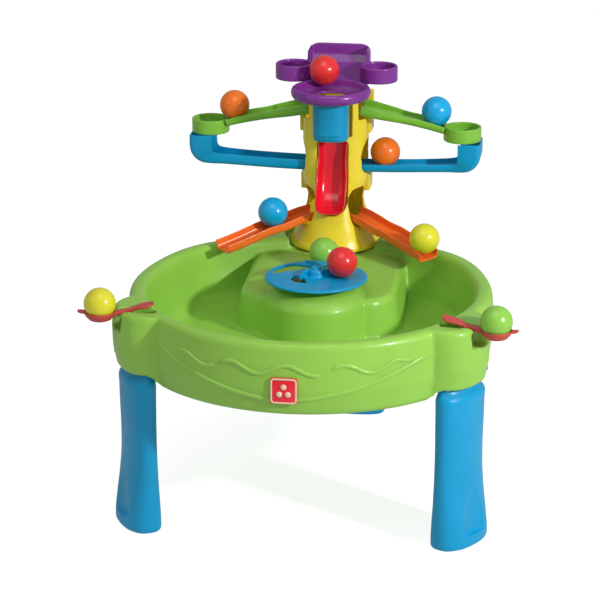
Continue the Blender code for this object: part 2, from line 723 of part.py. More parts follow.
# --------------------------------------------------------------------- tower
# z, half width, rear depth, front depth, superellipse power
TOWER = [(0.3924, 0.0880, 0.0880, 0.0880, 2.0), (0.3990, 0.0880, 0.0880, 0.0880, 2.0),
         (0.4070, 0.0830, 0.0830, 0.0850, 2.0), (0.4300, 0.0720, 0.0740, 0.0790, 2.05),
         (0.4600, 0.0585, 0.0660, 0.0700, 2.2), (0.4850, 0.0540, 0.0640, 0.0620, 2.3),
         (0.5000, 0.0560, 0.0640, 0.0590, 2.4), (0.5250, 0.0625, 0.0640, 0.0560, 2.5),
         (0.6150, 0.0620, 0.0640, 0.0530, 2.5), (0.6940, 0.0600, 0.0640, 0.0500, 2.5)]

# Side ears of the rear shell: tag, bottom, top, reach in x
EARS = [("hi", 0.612, 0.688, 0.0690), ("lo", 0.497, 0.530, 0.0668)]

# Tube inside the tower foot for a screw: radius, z
SCREW_BOSS = [(0.0021, 0.4155), (0.0062, 0.4155), (0.0068, 0.3932), (0.0021, 0.3932)]

# Drop cover: z, how fully it stands forward
DROP_COVER = [(0.6140, 0.70), (0.6165, 0.86), (0.6220, 0.96), (0.6260, 0.97),
              (0.6270, 1.0), (0.6400, 1.0), (0.6600, 1.0), (0.6895, 1.0)]


def tower_solid(name, mat=None, inset=0.0, overrun=0.0, steps=32):
    """Whole tower body, shrunk by inset and lengthened by overrun at both ends."""
    rings = []
    for i, (z, half_x, rear, front, power) in enumerate(TOWER):
        if i == 0:
            z = z - overrun
        if i == len(TOWER) - 1:
            z = z + overrun
        ring = []
        for k in range(steps):
            t = 2 * math.pi * k / steps
            c, s = math.cos(t), math.sin(t)
            depth = (rear if s > 0 else front) - inset
            ring.append(((half_x - inset) * signed_power(c, 2 / power),
                         TOWER_Y + depth * signed_power(s, 2 / power), z))
        rings.append(ring)
    return loft_object(name, rings, mat)


def arch_outline(half, side_power, rise, drop, foot_power):
    """(across, up) points of an opening with a round head and a squarer foot."""
    points = []
    for i in range(16):
        a = math.radians(i * 22.5)
        c, s = math.cos(a), math.sin(a)
        up = rise * s if s > 0 else drop * signed_power(s, foot_power)
        points.append((half * signed_power(c, side_power), up))
    return points


def upper_ramp_opening(side, tag):
    x0, x1 = sorted((side * 0.040, side * 0.09))
    return box("cut_up_" + tag, (x0, RAMP_Y - 0.0345, 0.6440), (x1, RAMP_Y + 0.0345, 0.7300))


def trough_opening(side, tag):
    outline = arch_outline(half=0.0325, side_power=0.8, rise=0.036, drop=0.0288, foot_power=0.55)
    rings = [[(x, RAMP_Y + across, 0.5640 + up) for across, up in outline]
             for x in (side * 0.038, side * 0.085)]
    return loft_object("cut_mid_" + tag, rings)


def slide_opening(side, tag):
    """Arched hole that runs along the slide and falls with it."""
    outline = arch_outline(half=0.0270, side_power=0.6, rise=0.0345, drop=0.0380, foot_power=0.4)
    rings = []
    for distance in (0.026, 0.110):
        x, y, z = slide_point(side, distance, 0.4770 - 0.16 * (distance - 0.045))
        rings.append([(x + side * SLIDE_SIN * across, y - SLIDE_COS * across, z + up)
                      for across, up in outline])
    return loft_object("cut_low_" + tag, rings)


def prism_y(name, outline, y0, y1):
    """Helper with an (x, z) outline, running from y0 to y1."""
    return loft_object(name, [[(x, y, z) for x, z in outline] for y in (y0, y1)])


def front_window():
    """Square window behind the drop cover."""
    half, bottom, top = 0.0360, 0.6135, 0.7200
    outline = [(half, bottom), (half, top), (-half, top), (-half, bottom)]
    return prism_y("cut_window", outline, 0.20, 0.318)


def front_arch():
    """Opening for the front slide: round-cornered head, semi-elliptical foot."""
    half, corner, top = 0.0300, 0.0150, 0.6095
    outline = []
    for cx, start in ((half - corner, 0.0), (-half + corner, 90.0)):
        for i in range(5):
            a = math.radians(start + 90.0 * i / 4)
            outline.append((cx + corner * math.cos(a), top - corner + corner * math.sin(a)))
    for i in range(9):
        a = math.radians(180 + 180 * i / 8)
        outline.append((half * math.cos(a), 0.4900 + 0.0290 * math.sin(a)))
    return prism_y("cut_arch", outline, 0.19, 0.319)


def tower_shell(name, front):
    """Front or rear half of the hollow tower."""
    tag = "f" if front else "r"
    ob = tower_solid(name, YELLOW)
    if not front:
        for side, side_name in SIDES:
            for ear_tag, z0, z1, reach in EARS:
                x0, x1 = sorted((side * 0.045, side * reach))
                join(ob, box("add_ear_%s%s" % (side_name[0], ear_tag),
                             (x0, REAR_SHELL_START_Y, z0), (x1, TOWER_Y + 0.040, z1)))
    cut(ob, tower_solid("cut_inside_" + tag, inset=TOWER_WALL, overrun=0.01))
    # take away the other half
    y0, y1 = (FRONT_SHELL_END_Y, 0.6) if front else (0.0, REAR_SHELL_START_Y)
    cut(ob, box("cut_half_" + tag, (-0.2, y0, 0.35), (0.2, y1, 0.75)))
    for x, y in TOWER_SCREWS:
        if (y < TOWER_Y) == front:
            boss_tag = tag + ("r" if x > 0 else "l")
            join(ob, lathe("add_boss_" + boss_tag, SCREW_BOSS, (x, y, 0), None, 12))
    for side, side_name in SIDES:
        for opening in (upper_ramp_opening, trough_opening, slide_opening):
            cut(ob, opening(side, tag + side_name[0]))
    if front:
        cut(ob, front_window())
        cut(ob, front_arch())


def drop_cover():
    """Half-round cover in front of the tower window."""
    wall, half_width, depth, back_y = 0.003, 0.0340, 0.0400, 0.2700
    rings = []
    for z, fullness in DROP_COVER:
        half = half_width * (0.80 + 0.20 * fullness)
        reach = depth * fullness
        outside, inside = [], []
        for i in range(13):
            a = math.radians(180 + 15 * i)
            c, s = signed_power(math.cos(a), 0.8), abs(math.sin(a)) ** 0.8
            outside.append((half * c, back_y - reach * s, z))
            inside.append(((half - wall) * c, back_y - (reach - wall) * s, z))
        rings.append(outside + inside[::-1])
    wall_object("front_drop_cover", rings, BLUE)


# ----------------------------------------------------------------- tower top
# All heights are counted from TOP_Z.
# Plate over the tower: y, bottom, top, half width
TOP_PLATE = [(0.3180, -0.0180, -0.0060, 0.0600), (0.3437, -0.0187, 0.0072, 0.0600),
             (0.3700, -0.0190, 0.0230, 0.0590), (0.3960, -0.0190, 0.0310, 0.0580)]
# Back block: height, inset
BACK_BLOCK = [(-0.0185, 0.0), (0.0420, 0.0), (0.0500, 0.0035), (0.0530, 0.0090)]
# Tray hollow, open to the front: y, floor height
TRAY = [(0.30, -0.0098), (0.3400, -0.0065), (0.3600, 0.0030),
        (0.3900, 0.0190), (0.4000, 0.0330), (0.4040, 0.0700)]
# Rings: radius, height
SIDE_LOOP = [(0.0310, 0.0245), (0.0325, 0.0262), (0.0345, 0.0262), (0.0360, 0.0245),
             (0.0360, -0.0030), (0.0350, -0.0040), (0.0310, -0.0040)]
FUNNEL = [(0.0320, -0.0155), (0.0320, -0.0192), (0.0400, -0.0210), (0.0640, -0.0214),
          (0.0705, -0.0194), (0.0745, -0.0138), (0.0754, -0.0068), (0.0728, -0.0010),
          (0.0685, 0.0009), (0.0640, -0.0008), (0.0602, -0.0058), (0.0562, -0.0105),
          (0.0450, -0.0137)]


def ball_drop_top():
    """Front funnel ring, two side loops and a raised back tray."""
    rings = [[(-half, y, TOP_Z + low), (half, y, TOP_Z + low),
              (half, y, TOP_Z + high), (-half, y, TOP_Z + high)]
             for y, low, high, half in TOP_PLATE]
    ob = loft_object("ball_drop_top", rings, PURPLE)

    rings = []
    for height, inset in BACK_BLOCK:
        outline = rounded_rect(0.0595 - inset, 0.3565 + inset * 0.3, 0.4120 - inset * 0.5, 0.016)
        rings.append([(x, y, TOP_Z + height) for x, y in outline])
    join(ob, loft_object("add_back", rings))

    half, slant, open_z = 0.0545, 0.020, TOP_Z + 0.10
    rings = [[(-half, y, TOP_Z + height), (half, y, TOP_Z + height),
              (half, y - slant, open_z), (-half, y - slant, open_z)] for y, height in TRAY]
    cut(ob, loft_object("cut_scoop", rings))

    for side, tag in SIDES:
        cut(ob, bore("cut_loop_" + tag[0], 0.0334, TOP_Z + 0.09, TOP_Z - 0.03,
                     (side * LOOP_X, LOOP_Y, 0), 23))
    cut(ob, bore("cut_mouth", 0.0692, TOP_Z + 0.06, TOP_Z - 0.04, (0, FUNNEL_Y, 0), 31))
    for side, tag in SIDES:
        join(ob, lathe("add_loop_" + tag[0], raised(SIDE_LOOP, TOP_Z),
                       (side * LOOP_X, LOOP_Y, 0), None, 28))
    join(ob, lathe("add_funnel", raised(FUNNEL, TOP_Z), (0, FUNNEL_Y, 0), None, 36))


# --------------------------------------------------------------------- wheel
# Holes: tag, inner radius, outer radius, start and end in degrees,
# turn of the inner edge in degrees
WHEEL_HOLES = [("a", 0.048, 0.087, 122, 178, -22), ("b", 0.026, 0.052, 196, 256, -10),
               ("c", 0.048, 0.082, 64, 86, 0)]
# Vanes: direction of the tip in degrees, radial length
VANES = [(111.3, 0.0690), (51.0, 0.0660), (-127.4, 0.0300)]


def kidney(name, inner_r, outer_r_, start, end, swirl, steps=6):
    """Kidney-shaped cutter through the wheel disc."""
    points = []
    for i in range(steps + 1):
        t = i / steps
        a = math.radians(start + (end - start) * t)
        r = outer_r_ - 0.010 * (abs(2 * t - 1) ** 3)
        points.append((r * math.cos(a), r * math.sin(a)))
    for i in range(steps + 1):
        t = 1 - i / steps
        a = math.radians(start + (end - start) * t + swirl)
        r = inner_r + 0.010 * (abs(2 * t - 1) ** 3)
        points.append((r * math.cos(a), r * math.sin(a)))
    return loft_object(name, [[(x, y + WHEEL_Y, z) for x, y in points]
                              for z in (WHEEL_Z0 - 0.01, WHEEL_Z1 + 0.01)])


def vane(name, tip_deg, reach, steps=6):
    """Curved upright vane, lower towards its tip."""
    half_thick = 0.0021
    one_face, other_face, tops = [], [], []
    for i in range(steps):
        t = i / (steps - 1)
        r = 0.0123 + reach * t
        a = math.radians(tip_deg - 46 * (1 - t) ** 1.4)
        x, y = r * math.cos(a), r * math.sin(a)
        across = a + math.radians(90)
        dx, dy = half_thick * math.cos(across), half_thick * math.sin(across)
        one_face.append((x - dx, y - dy))
        other_face.append((x + dx, y + dy))
        tops.append(WHEEL_Z1 + 0.0130 * (1 - 0.55 * t ** 2))
    outline = one_face + other_face[::-1]
    tops += tops[::-1]
    rings = [[(x, y + WHEEL_Y, WHEEL_Z1 - 0.0016) for x, y in outline],
             [(x, y + WHEEL_Y, z) for (x, y), z in zip(outline, tops)]]
    return wall_object(name, rings)


def wheel():
    profile = [(0.0058, WHEEL_Z1 + 0.0140), (0.0110, WHEEL_Z1 + 0.0140),
               (0.0145, WHEEL_Z1 + 0.0110), (0.0165, WHEEL_Z1 + 0.0010),
               (0.0185, WHEEL_Z1 - 0.0002), (WHEEL_R - 0.003, WHEEL_Z1),
               (WHEEL_R, WHEEL_Z1 - 0.0020), (WHEEL_R - 0.0010, WHEEL_Z0), (0.0058, WHEEL_Z0)]
    ob = lathe("wheel", profile, (0, WHEEL_Y, 0), BLUE, 40)
    for tag, *shape in WHEEL_HOLES:
        cut(ob, kidney("cut_wheel_" + tag, *shape))
    for i, (tip_deg, reach) in enumerate(VANES):
        join(ob, vane("add_vane_%d" % i, tip_deg, reach))


def wheel_post():
    """Steel pin with a collar between the pedestal and the wheel."""
    collar_z = WHEEL_Z0 - 0.0006
    profile = [(0.0, WHEEL_Z1 + 0.0135), (0.0053, WHEEL_Z1 + 0.0135),
               (0.0057, WHEEL_Z1 + 0.0130), (0.0057, collar_z), (0.0090, collar_z),
               (0.0090, 0.3945), (0.0050, 0.3945), (0.0050, 0.3545), (0.0, 0.3545)]
    lathe("wheel_post", profile, (0, WHEEL_Y, 0), STEEL, 16)


def wheel_cap():
    profile = [(0.0, 0.0048), (0.0045, 0.0042), (0.0085, 0.0024), (0.0102, 0.0), (0.0, 0.0)]
    lathe("wheel_cap", raised(profile, WHEEL_Z1 + 0.0145), (0, WHEEL_Y, 0), BLUE, 20)


# -------------------------------------------------------------------- spoons
# Bowl: radius, height from its rim
BOWL = [(0.0, -0.0155), (0.0090, -0.0150), (0.0180, -0.0115), (0.0235, -0.0055),
        (0.0265, -0.0002), (0.0275, 0.0), (0.0285, -0.0008), (0.0262, -0.0075),
        (0.0200, -0.0148), (0.0100, -0.0185), (0.0, -0.0190)]
# Arm and tab: distance outwards from the pivot, half width, bottom z, top z
SPOON_ARM = [(0.0240, 0.0085, 0.3995, 0.4058), (0.0120, 0.0080, 0.4010, 0.4085),
             (0.0, 0.0080, 0.4008, 0.4110), (-0.0100, 0.0085, 0.4085, 0.4140),
             (-0.0180, 0.0120, 0.4125, 0.4175), (-0.0280, 0.0150, 0.4145, 0.4190),
             (-0.0380, 0.0135, 0.4165, 0.4210), (-0.0450, 0.0080, 0.4190, 0.4235)]
SPOON_TAB = [(0.0760, 0.0080, 0.4030, 0.4066), (0.0830, 0.0075, 0.4040, 0.4078),
             (0.0895, 0.0050, 0.4055, 0.4088)]


def spoon_axis(side):
    """Direction of the pivot pin."""
    a = math.radians(side * -SPOON_TURN)
    return (-math.sin(a), math.cos(a), 0.0)


def spoon_point(side, out, across, z):
    """Point at a distance outwards from the pivot and across the spoon."""
    a = math.radians(side * -SPOON_TURN)
    ux, uy = side * math.cos(a), side * math.sin(a)
    return (side * SPOON_X + ux * out - uy * across, SPOON_Y + uy * out + ux * across, z)


def spoon(side, tag):
    """Bowl outside the lobe, arm over the rim with an inboard pad, tab at the tip."""
    centre = spoon_point(side, BOWL_OUT, 0, 0)
    ob = lathe(tag + "_spoon", raised(BOWL, BOWL_RIM_Z), centre, BRICK, 24)

    bevel = 0.0008
    rings = []
    for out, half, z0, z1 in SPOON_ARM:
        flat = half * 0.85
        section = [(-half, z0 + bevel), (-flat, z0), (flat, z0), (half, z0 + bevel),
                   (half, z1 - bevel), (flat, z1), (-flat, z1), (-half, z1 - bevel)]
        rings.append([spoon_point(side, out, across, z) for across, z in section])
    join(ob, loft_object("add_arm_" + tag, rings))

    rings = []
    for out, half, z0, z1 in SPOON_TAB:
        section = [(-half, z0), (half, z0), (half, z1), (-half, z1)]
        rings.append([spoon_point(side, out, across, z) for across, z in section])
    join(ob, loft_object("add_tab_" + tag, rings))

    cut(ob, bore("cut_spoon_pin_" + tag, SPOON_BORE_R, 0.02, -0.02,
                 (side * SPOON_X, SPOON_Y, SPOON_Z), 14, spoon_axis(side)))


def spoon_pin(side, tag):
    profile = [(0.0, 0.0180), (0.0024, 0.0180), (0.00275, 0.0177),
               (0.00275, -0.0177), (0.0024, -0.0180), (0.0, -0.0180)]
    lathe(tag + "_spoon_pin", profile, (side * SPOON_X, SPOON_Y, SPOON_Z), STEEL, 14,
          spoon_axis(side))


# --------------------------------------------------------------------- balls
BALL_RED = (0.86, 0.04, 0.03)
BALL_BLUE = (0.0, 0.42, 0.80)
BALL_YELLOW = (0.80, 0.80, 0.03)
BALL_GREEN = (0.30, 0.62, 0.08)
SPOON_BALL_Z = 0.4206

# object name, centre, material
BALLS = [
    ("top_red_ball", (-0.0180, 0.3060, 0.7380), ("red_ball", BALL_RED)),
    ("left_ramp_orange_ball", (-0.1960, RAMP_Y, 0.6569), ("orange_ball", (0.95, 0.16, 0.01))),
    ("right_ramp_blue_ball", (0.1930, RAMP_Y, 0.6579), ("blue_ball", BALL_BLUE)),
    ("right_trough_orange_ball", (0.0960, RAMP_Y, 0.5745),
     ("orange_ball_2", (0.95, 0.14, 0.01))),
    ("left_slide_blue_ball", ball_on_slide(-1, 0.1230), ("blue_ball_2", BALL_BLUE)),
    ("right_slide_yellow_ball", ball_on_slide(1, 0.2180), ("yellow_ball", BALL_YELLOW)),
    ("wheel_red_ball", (0.0484, 0.0636, WHEEL_Z1 + BALL_R + BALL_GAP),
     ("red_ball_2", BALL_RED)),
    ("deck_green_ball", (-0.0020, 0.1905, 0.4138), ("green_ball", BALL_GREEN)),
    ("left_spoon_yellow_ball", spoon_point(-1, BOWL_OUT, 0, SPOON_BALL_Z),
     ("yellow_ball_2", BALL_YELLOW)),
    ("right_spoon_green_ball", spoon_point(1, BOWL_OUT, 0, SPOON_BALL_Z),
     ("green_ball_2", BALL_GREEN)),
]


def ball(name, centre, mat, bands=8):
    profile = []
    for i in range(bands + 1):
        a = math.pi * i / bands
        profile.append((BALL_R * math.sin(a) if 0 < i < bands else 0.0, BALL_R * math.cos(a)))
    lathe(name, profile, centre, mat, 16)


# --------------------------------------------------------------------- build
tub()
for leg_spec in LEGS:
    leg(*leg_spec)
for screw_tag, screw_seat, screw_outward in leg_screw_places():
    screw("leg_screw_" + screw_tag, screw_seat, screw_outward)
drain_plug()
tower_screws()
tower_shell("tower_front_shell", front=True)
tower_shell("tower_rear_shell", front=False)
drop_cover()
front_slide()
ball_drop_top()
for build_side, build_tag in SIDES:
    for build_piece in (upper_ramp, return_trough, lower_slide, spoon, spoon_pin):
        build_piece(build_side, build_tag)
wheel()
wheel_post()
wheel_cap()
badge()
for ball_spec in BALLS:
    ball(*ball_spec)
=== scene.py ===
"""Fine visual model of a ball play table, built over the loaded CAD frame.

A round tub on three legs holds a wheel on a pedestal and a ball spoon in each front
lobe. A tower with ramps, troughs and slides stands over the rear lobe. Metres, +X is
right, -Y is front, +Z is up, and the floor is at z = 0.

Everything is laid out from the centre of the tub, as in the CAD part, and to_object
moves it by SHIFT_Y into the shared frame. Angles are in degrees, counter-clockwise
from +X. Moulded pieces are cut with Booleans, re-meshed and smoothed, which rounds
their edges.
"""
import json
import math

import bmesh
import bpy
import numpy as np
from mathutils import Matrix, Vector

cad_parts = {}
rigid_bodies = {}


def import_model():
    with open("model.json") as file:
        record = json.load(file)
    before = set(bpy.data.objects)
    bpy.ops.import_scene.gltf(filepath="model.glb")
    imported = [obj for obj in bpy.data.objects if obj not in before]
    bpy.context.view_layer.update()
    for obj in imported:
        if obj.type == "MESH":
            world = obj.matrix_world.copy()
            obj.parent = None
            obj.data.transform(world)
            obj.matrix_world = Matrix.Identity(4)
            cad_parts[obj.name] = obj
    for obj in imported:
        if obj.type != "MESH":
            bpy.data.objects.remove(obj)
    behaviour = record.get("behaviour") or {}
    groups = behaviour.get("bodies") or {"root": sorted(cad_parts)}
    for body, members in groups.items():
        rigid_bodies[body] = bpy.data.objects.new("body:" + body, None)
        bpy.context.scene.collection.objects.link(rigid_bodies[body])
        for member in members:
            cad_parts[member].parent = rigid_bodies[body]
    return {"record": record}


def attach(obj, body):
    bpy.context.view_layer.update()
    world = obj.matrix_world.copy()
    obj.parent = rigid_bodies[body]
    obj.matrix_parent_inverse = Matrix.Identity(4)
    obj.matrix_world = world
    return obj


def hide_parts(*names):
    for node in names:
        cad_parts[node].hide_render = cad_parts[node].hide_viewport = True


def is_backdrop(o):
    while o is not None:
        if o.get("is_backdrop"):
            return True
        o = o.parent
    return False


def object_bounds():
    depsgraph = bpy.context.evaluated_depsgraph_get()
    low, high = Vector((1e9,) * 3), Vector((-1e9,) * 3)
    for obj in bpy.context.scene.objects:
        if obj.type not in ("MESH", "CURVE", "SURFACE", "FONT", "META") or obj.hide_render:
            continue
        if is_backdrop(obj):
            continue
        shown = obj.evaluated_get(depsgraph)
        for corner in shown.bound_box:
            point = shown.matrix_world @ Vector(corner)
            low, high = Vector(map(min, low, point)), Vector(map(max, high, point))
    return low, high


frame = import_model()
BOUNDS_AT_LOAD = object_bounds()

# ---------------------------------------------------------------- dimensions
SHIFT_Y = 0.0771         # centre of the tub lies this far in front of the origin
SIDES = ((-1, "left"), (1, "right"))
BALL_R = 0.0285

TUB_R = 0.328            # outer radius of the round part of the tub
RIM_Z = 0.410            # top of the rim
RIM_W = 0.028
SKIRT_BOTTOM = 0.280     # lower edge of the apron
SKIRT_WALL = 0.0045
FLOOR_Z = 0.300          # pool floor
LEFT_LOBE, RIGHT_LOBE = -150.0, -30.0    # angles of the front lobes
LOBE_OUT = 0.041         # how far the front lobes stand out
LOBE_HALF = 12.5         # degrees each side
LOBE_LIFT = 0.016        # the lobes' lower edge sits this much higher
FRONT_LEG_R = 0.3365
REAR_LEG_R = 0.4520      # rear leg sits further out, under the tower lobe
DRAIN_AT = (0.135, -0.105, 0)

TOWER_Y = 0.340          # tower axis
REAR_LOBE_R = 0.118
DECK_Z = 0.392           # where the tower stands
DECK_LOW_Z = 0.373       # front edge of the raised deck
DECK_HALF = 0.145
DECK_FRONT_Y = 0.040
DECK_REAR_Y = 0.425

SPIN_Y = 0.067           # axis of the wheel
SPIN_R = 0.095
SPIN_Z0 = 0.402          # underside of the wheel disc
SPIN_Z1 = 0.4075         # top of the wheel disc
SPIN_AT = (0, SPIN_Y, 0)

FUNNEL_AT = (0, 0.263, 0)    # drop hole in front of the tower
FUNNEL_Z = 0.716
LOOP_X = 0.081
LOOP_Y = 0.345

CHANNEL_WALL = 0.003     # wall of the ramps, troughs, slides and drop cover
RAMP_Y = 0.338           # line of the ramps and troughs, and start of the slides
CUP_X = 0.2430
CUP_R = 0.0360
CUP_Z0, CUP_Z1 = 0.6035, 0.6310

SPOON_X = 0.300          # pivot of the ball spoons
SPOON_Y = -0.181
SPOON_Z = 0.4045
SPOON_TURN = 8.0         # degrees the spoon points forward of the X axis
BOWL_OUT = 0.0500        # bowl centre, outwards from the pivot
PIN_BORE_R = 0.0029

# tower foot screws: x, y, z under the head
TOWER_SCREWS = {
    "front_right": (0.0580, 0.2955, 0.3836),
    "front_left": (-0.0580, 0.2955, 0.3836),
    "rear_right": (0.0580, 0.3845, 0.3866),
    "rear_left": (-0.0580, 0.3845, 0.3866),
}

# ----------------------------------------------------------- object building
PIECES = bpy.data.collections.new("fine_pieces")
CUTTERS = bpy.data.collections.new("fine_cutters")
bpy.context.scene.collection.children.link(PIECES)
bpy.context.scene.collection.children.link(CUTTERS)
SLOT_OF = {part["node"]: part["material_slot"] for part in frame["record"]["subparts"]}
BODY_OF = {node: body for body, nodes in frame["record"]["behaviour"]["bodies"].items()
           for node in nodes}


def to_object(name, verts, faces, smooth=True):
    """Mesh object in the shared frame, with its normals facing out."""
    mesh = bpy.data.meshes.new("fine_" + name)
    mesh.from_pydata([(float(x), float(y) - SHIFT_Y, float(z)) for x, y, z in verts], [], faces)
    bm = bmesh.new()
    bm.from_mesh(mesh)
    bmesh.ops.remove_doubles(bm, verts=bm.verts, dist=1e-7)
    bmesh.ops.recalc_face_normals(bm, faces=bm.faces)
    if bm.calc_volume(signed=True) < 0:
        bmesh.ops.reverse_faces(bm, faces=bm.faces)
    for face in bm.faces:
        face.smooth = smooth
    bm.to_mesh(mesh)
    bm.free()
    piece = bpy.data.objects.new(name + "_fine", mesh)
    PIECES.objects.link(piece)
    return piece


def boolean(piece, tool, operation):
    """Combine a piece with a tool object, which moves to the cutters."""
    PIECES.objects.unlink(tool)
    CUTTERS.objects.link(tool)
    modifier = piece.modifiers.new(tool.name, "BOOLEAN")
    modifier.operation = operation
    modifier.solver = "EXACT"
    modifier.object = tool


def cut(piece, tool):
    boolean(piece, tool, "DIFFERENCE")


def add(piece, tool):
    boolean(piece, tool, "UNION")


def bake(piece):
    """Apply every modifier into a new mesh."""
    graph = bpy.context.evaluated_depsgraph_get()
    mesh = bpy.data.meshes.new_from_object(piece.evaluated_get(graph))
    piece.modifiers.clear()
    old = piece.data
    piece.data = mesh
    if old.users == 0:
        bpy.data.meshes.remove(old)
    return piece


def shade_smooth(piece):
    for face in piece.data.polygons:
        face.use_smooth = True


def mould(piece, voxel, rounds):
    """Round every edge the way a moulding is rounded."""
    bake(piece)
    remesh = piece.modifiers.new("remesh", "REMESH")
    remesh.mode = "VOXEL"
    remesh.voxel_size = voxel
    remesh.use_smooth_shade = True
    smooth = piece.modifiers.new("smooth", "SMOOTH")
    smooth.factor = 0.5
    smooth.iterations = rounds
    bake(piece)
    shade_smooth(piece)
    return piece


def soften(piece, width, segments=3):
    """Bevel the edges, for pieces that keep their modelled faces."""
    bake(piece)
    bevel = piece.modifiers.new("bevel", "BEVEL")
    bevel.width = width
    bevel.segments = segments
    bevel.limit_method = "ANGLE"
    bevel.angle_limit = math.radians(30)
    bevel.use_clamp_overlap = True
    bake(piece)
    shade_smooth(piece)
    piece.data.set_sharp_from_angle(angle=math.radians(45))
    return piece


def join(piece, *others):
    """Append the meshes of other objects (all with identity transforms)."""
    bm = bmesh.new()
    bm.from_mesh(piece.data)
    for other in others:
        bm.from_mesh(other.data)
    bm.to_mesh(piece.data)
    bm.free()
    for other in others:
        bpy.data.objects.remove(other, do_unlink=True)
    return piece


# ---------------------------------------------------------- points and solids
def smooth01(value):
    value = min(1.0, max(0.0, value))
    return value * value * (3 - 2 * value)


def wrap(angle):
    return (angle + 180.0) % 360.0 - 180.0


def direction(angle):
    return math.cos(math.radians(angle)), math.sin(math.radians(angle))


def polar(radius, angle, z):
    cosine, sine = direction(angle)
    return (radius * cosine, radius * sine, z)


def turned(angle, out, across, z):
    """Point given by its distance out along an angle and across it."""
    cosine, sine = direction(angle)
    return (out * cosine - across * sine, out * sine + across * cosine, z)


def signed_power(value, power):
    return math.copysign(abs(value) ** power, value)


def circle(count):
    return [2 * math.pi * i / count for i in range(count)]


def arc(centre_u, centre_v, radius, start, sweep, steps):
    angles = [math.radians(start + sweep * i / steps) for i in range(steps + 1)]
    return [(centre_u + radius * math.cos(a), centre_v + radius * math.sin(a)) for a in angles]


def rounded_rect(half, y0, y1, corner, steps=12):
    """Counter-clockwise outline of a rectangle with round corners."""
    corner = max(0.002, min(corner, half - 0.001, (y1 - y0) / 2 - 0.001))
    outline = []
    for x, y, start in ((half - corner, y0 + corner, -90), (half - corner, y1 - corner, 0),
                        (-half + corner, y1 - corner, 90), (-half + corner, y0 + corner, 180)):
        outline += arc(x, y, corner, start, 90.0, steps)
    return outline


def path_tangent(points, i):
    before, after = points[max(0, i - 1)], points[min(len(points) - 1, i + 1)]
    return np.array(after, float) - np.array(before, float)


def refine(rings, steps):
    """Cubic interpolation between rings, so that long lofts flow."""
    rings = [np.array(ring, float) for ring in rings]
    count = len(rings)
    refined = []
    for i in range(count - 1):
        before, start, end, after = (rings[max(0, i - 1)], rings[i], rings[i + 1],
                                     rings[min(count - 1, i + 2)])
        # slopes are averaged per unit of spacing, as the spacing is uneven
        span_before = max(1e-6, float(np.abs(start - before).max()))
        span = max(1e-6, float(np.abs(end - start).max()))
        span_after = max(1e-6, float(np.abs(after - end).max()))
        slope_start = slope_end = end - start
        if i > 0:
            slope_start = ((end - start) / span + (start - before) / span_before) / 2 * span
        if i < count - 2:
            slope_end = ((after - end) / span_after + (end - start) / span) / 2 * span
        for j in range(steps):
            t = j / steps
            refined.append((2 * t ** 3 - 3 * t ** 2 + 1) * start
                           + (t ** 3 - 2 * t ** 2 + t) * slope_start
                           + (-2 * t ** 3 + 3 * t ** 2) * end
                           + (t ** 3 - t ** 2) * slope_end)
    refined.append(rings[-1])
    return [[tuple(point) for point in ring] for ring in refined]


def loft(rings, caps=True):
    count = len(rings[0])
    verts = [point for ring in rings for point in ring]
    faces = []
    for i in range(len(rings) - 1):
        for j in range(count):
            k = (j + 1) % count
            faces.append((i * count + j, i * count + k,
                          (i + 1) * count + k, (i + 1) * count + j))
    if caps:
        faces.append(tuple(range(count - 1, -1, -1)))
        faces.append(tuple((len(rings) - 1) * count + j for j in range(count)))
    return verts, faces


def solid(name, rings):
    return to_object(name, *loft(rings))


def walled(name, rings):
    """Thin-walled loft; each ring runs along one face of the wall and back on the other.

    The ends are closed by quads across the wall.
    """
    verts, faces = loft(rings, caps=False)
    count = len(rings[0])
    last = (len(rings) - 1) * count
    for j in range(count // 2 - 1):
        faces.append((j, count - 1 - j, count - 2 - j, j + 1))
        faces.append((last + j, last + j + 1, last + count - 2 - j, last + count - 1 - j))
    return to_object(name, verts, faces)


def lathe(name, profile, origin, steps, axis=None):
    """Closed solid of revolution from an open (radius, z) profile."""
    verts, faces, rows = [], [], []
    for radius, z in profile:
        if radius < 1e-6:
            rows.append([len(verts)] * steps)
            verts.append((0.0, 0.0, z))
        else:
            rows.append([len(verts) + i for i in range(steps)])
            verts += [(radius * math.cos(a), radius * math.sin(a), z) for a in circle(steps)]
    pairs = list(zip(rows, rows[1:]))
    if profile[0][0] > 1e-6 or profile[-1][0] > 1e-6:
        pairs.append((rows[-1], rows[0]))
    for first, second in pairs:
        for i in range(steps):
            j = (i + 1) % steps
            # a dict drops the repeated corners at the axis and keeps the order
            corners = tuple(dict.fromkeys((first[i], first[j], second[j], second[i])))
            if len(corners) > 2:
                faces.append(corners)
    matrix = Matrix.Identity(4)
    if axis is not None:
        matrix = Vector((0, 0, 1)).rotation_difference(Vector(axis)).to_matrix().to_4x4()
    matrix = Matrix.Translation(origin) @ matrix
    return to_object(name, [matrix @ Vector(v) for v in verts], faces)


def cylinder(name, radius, top, bottom, origin, steps, axis=None):
    profile = [(0.0, top), (radius, top), (radius, bottom), (0.0, bottom)]
    return lathe(name, profile, origin, steps, axis)


BOX_FACES = [(3, 2, 1, 0), (4, 5, 6, 7), (0, 1, 5, 4), (1, 2, 6, 5), (2, 3, 7, 6), (3, 0, 4, 7)]


def box(name, low, high, turn=0.0, about=(0.0, 0.0)):
    """Box between two corners, turned about a vertical axis."""
    cosine, sine = direction(turn)
    verts = []
    for z in (low[2], high[2]):
        for x, y in ((low[0], low[1]), (high[0], low[1]), (high[0], high[1]), (low[0], high[1])):
            along, across = x - about[0], y - about[1]
            verts.append((about[0] + cosine * along - sine * across,
                          about[1] + sine * along + cosine * across, z))
    return to_object(name, verts, BOX_FACES, smooth=False)


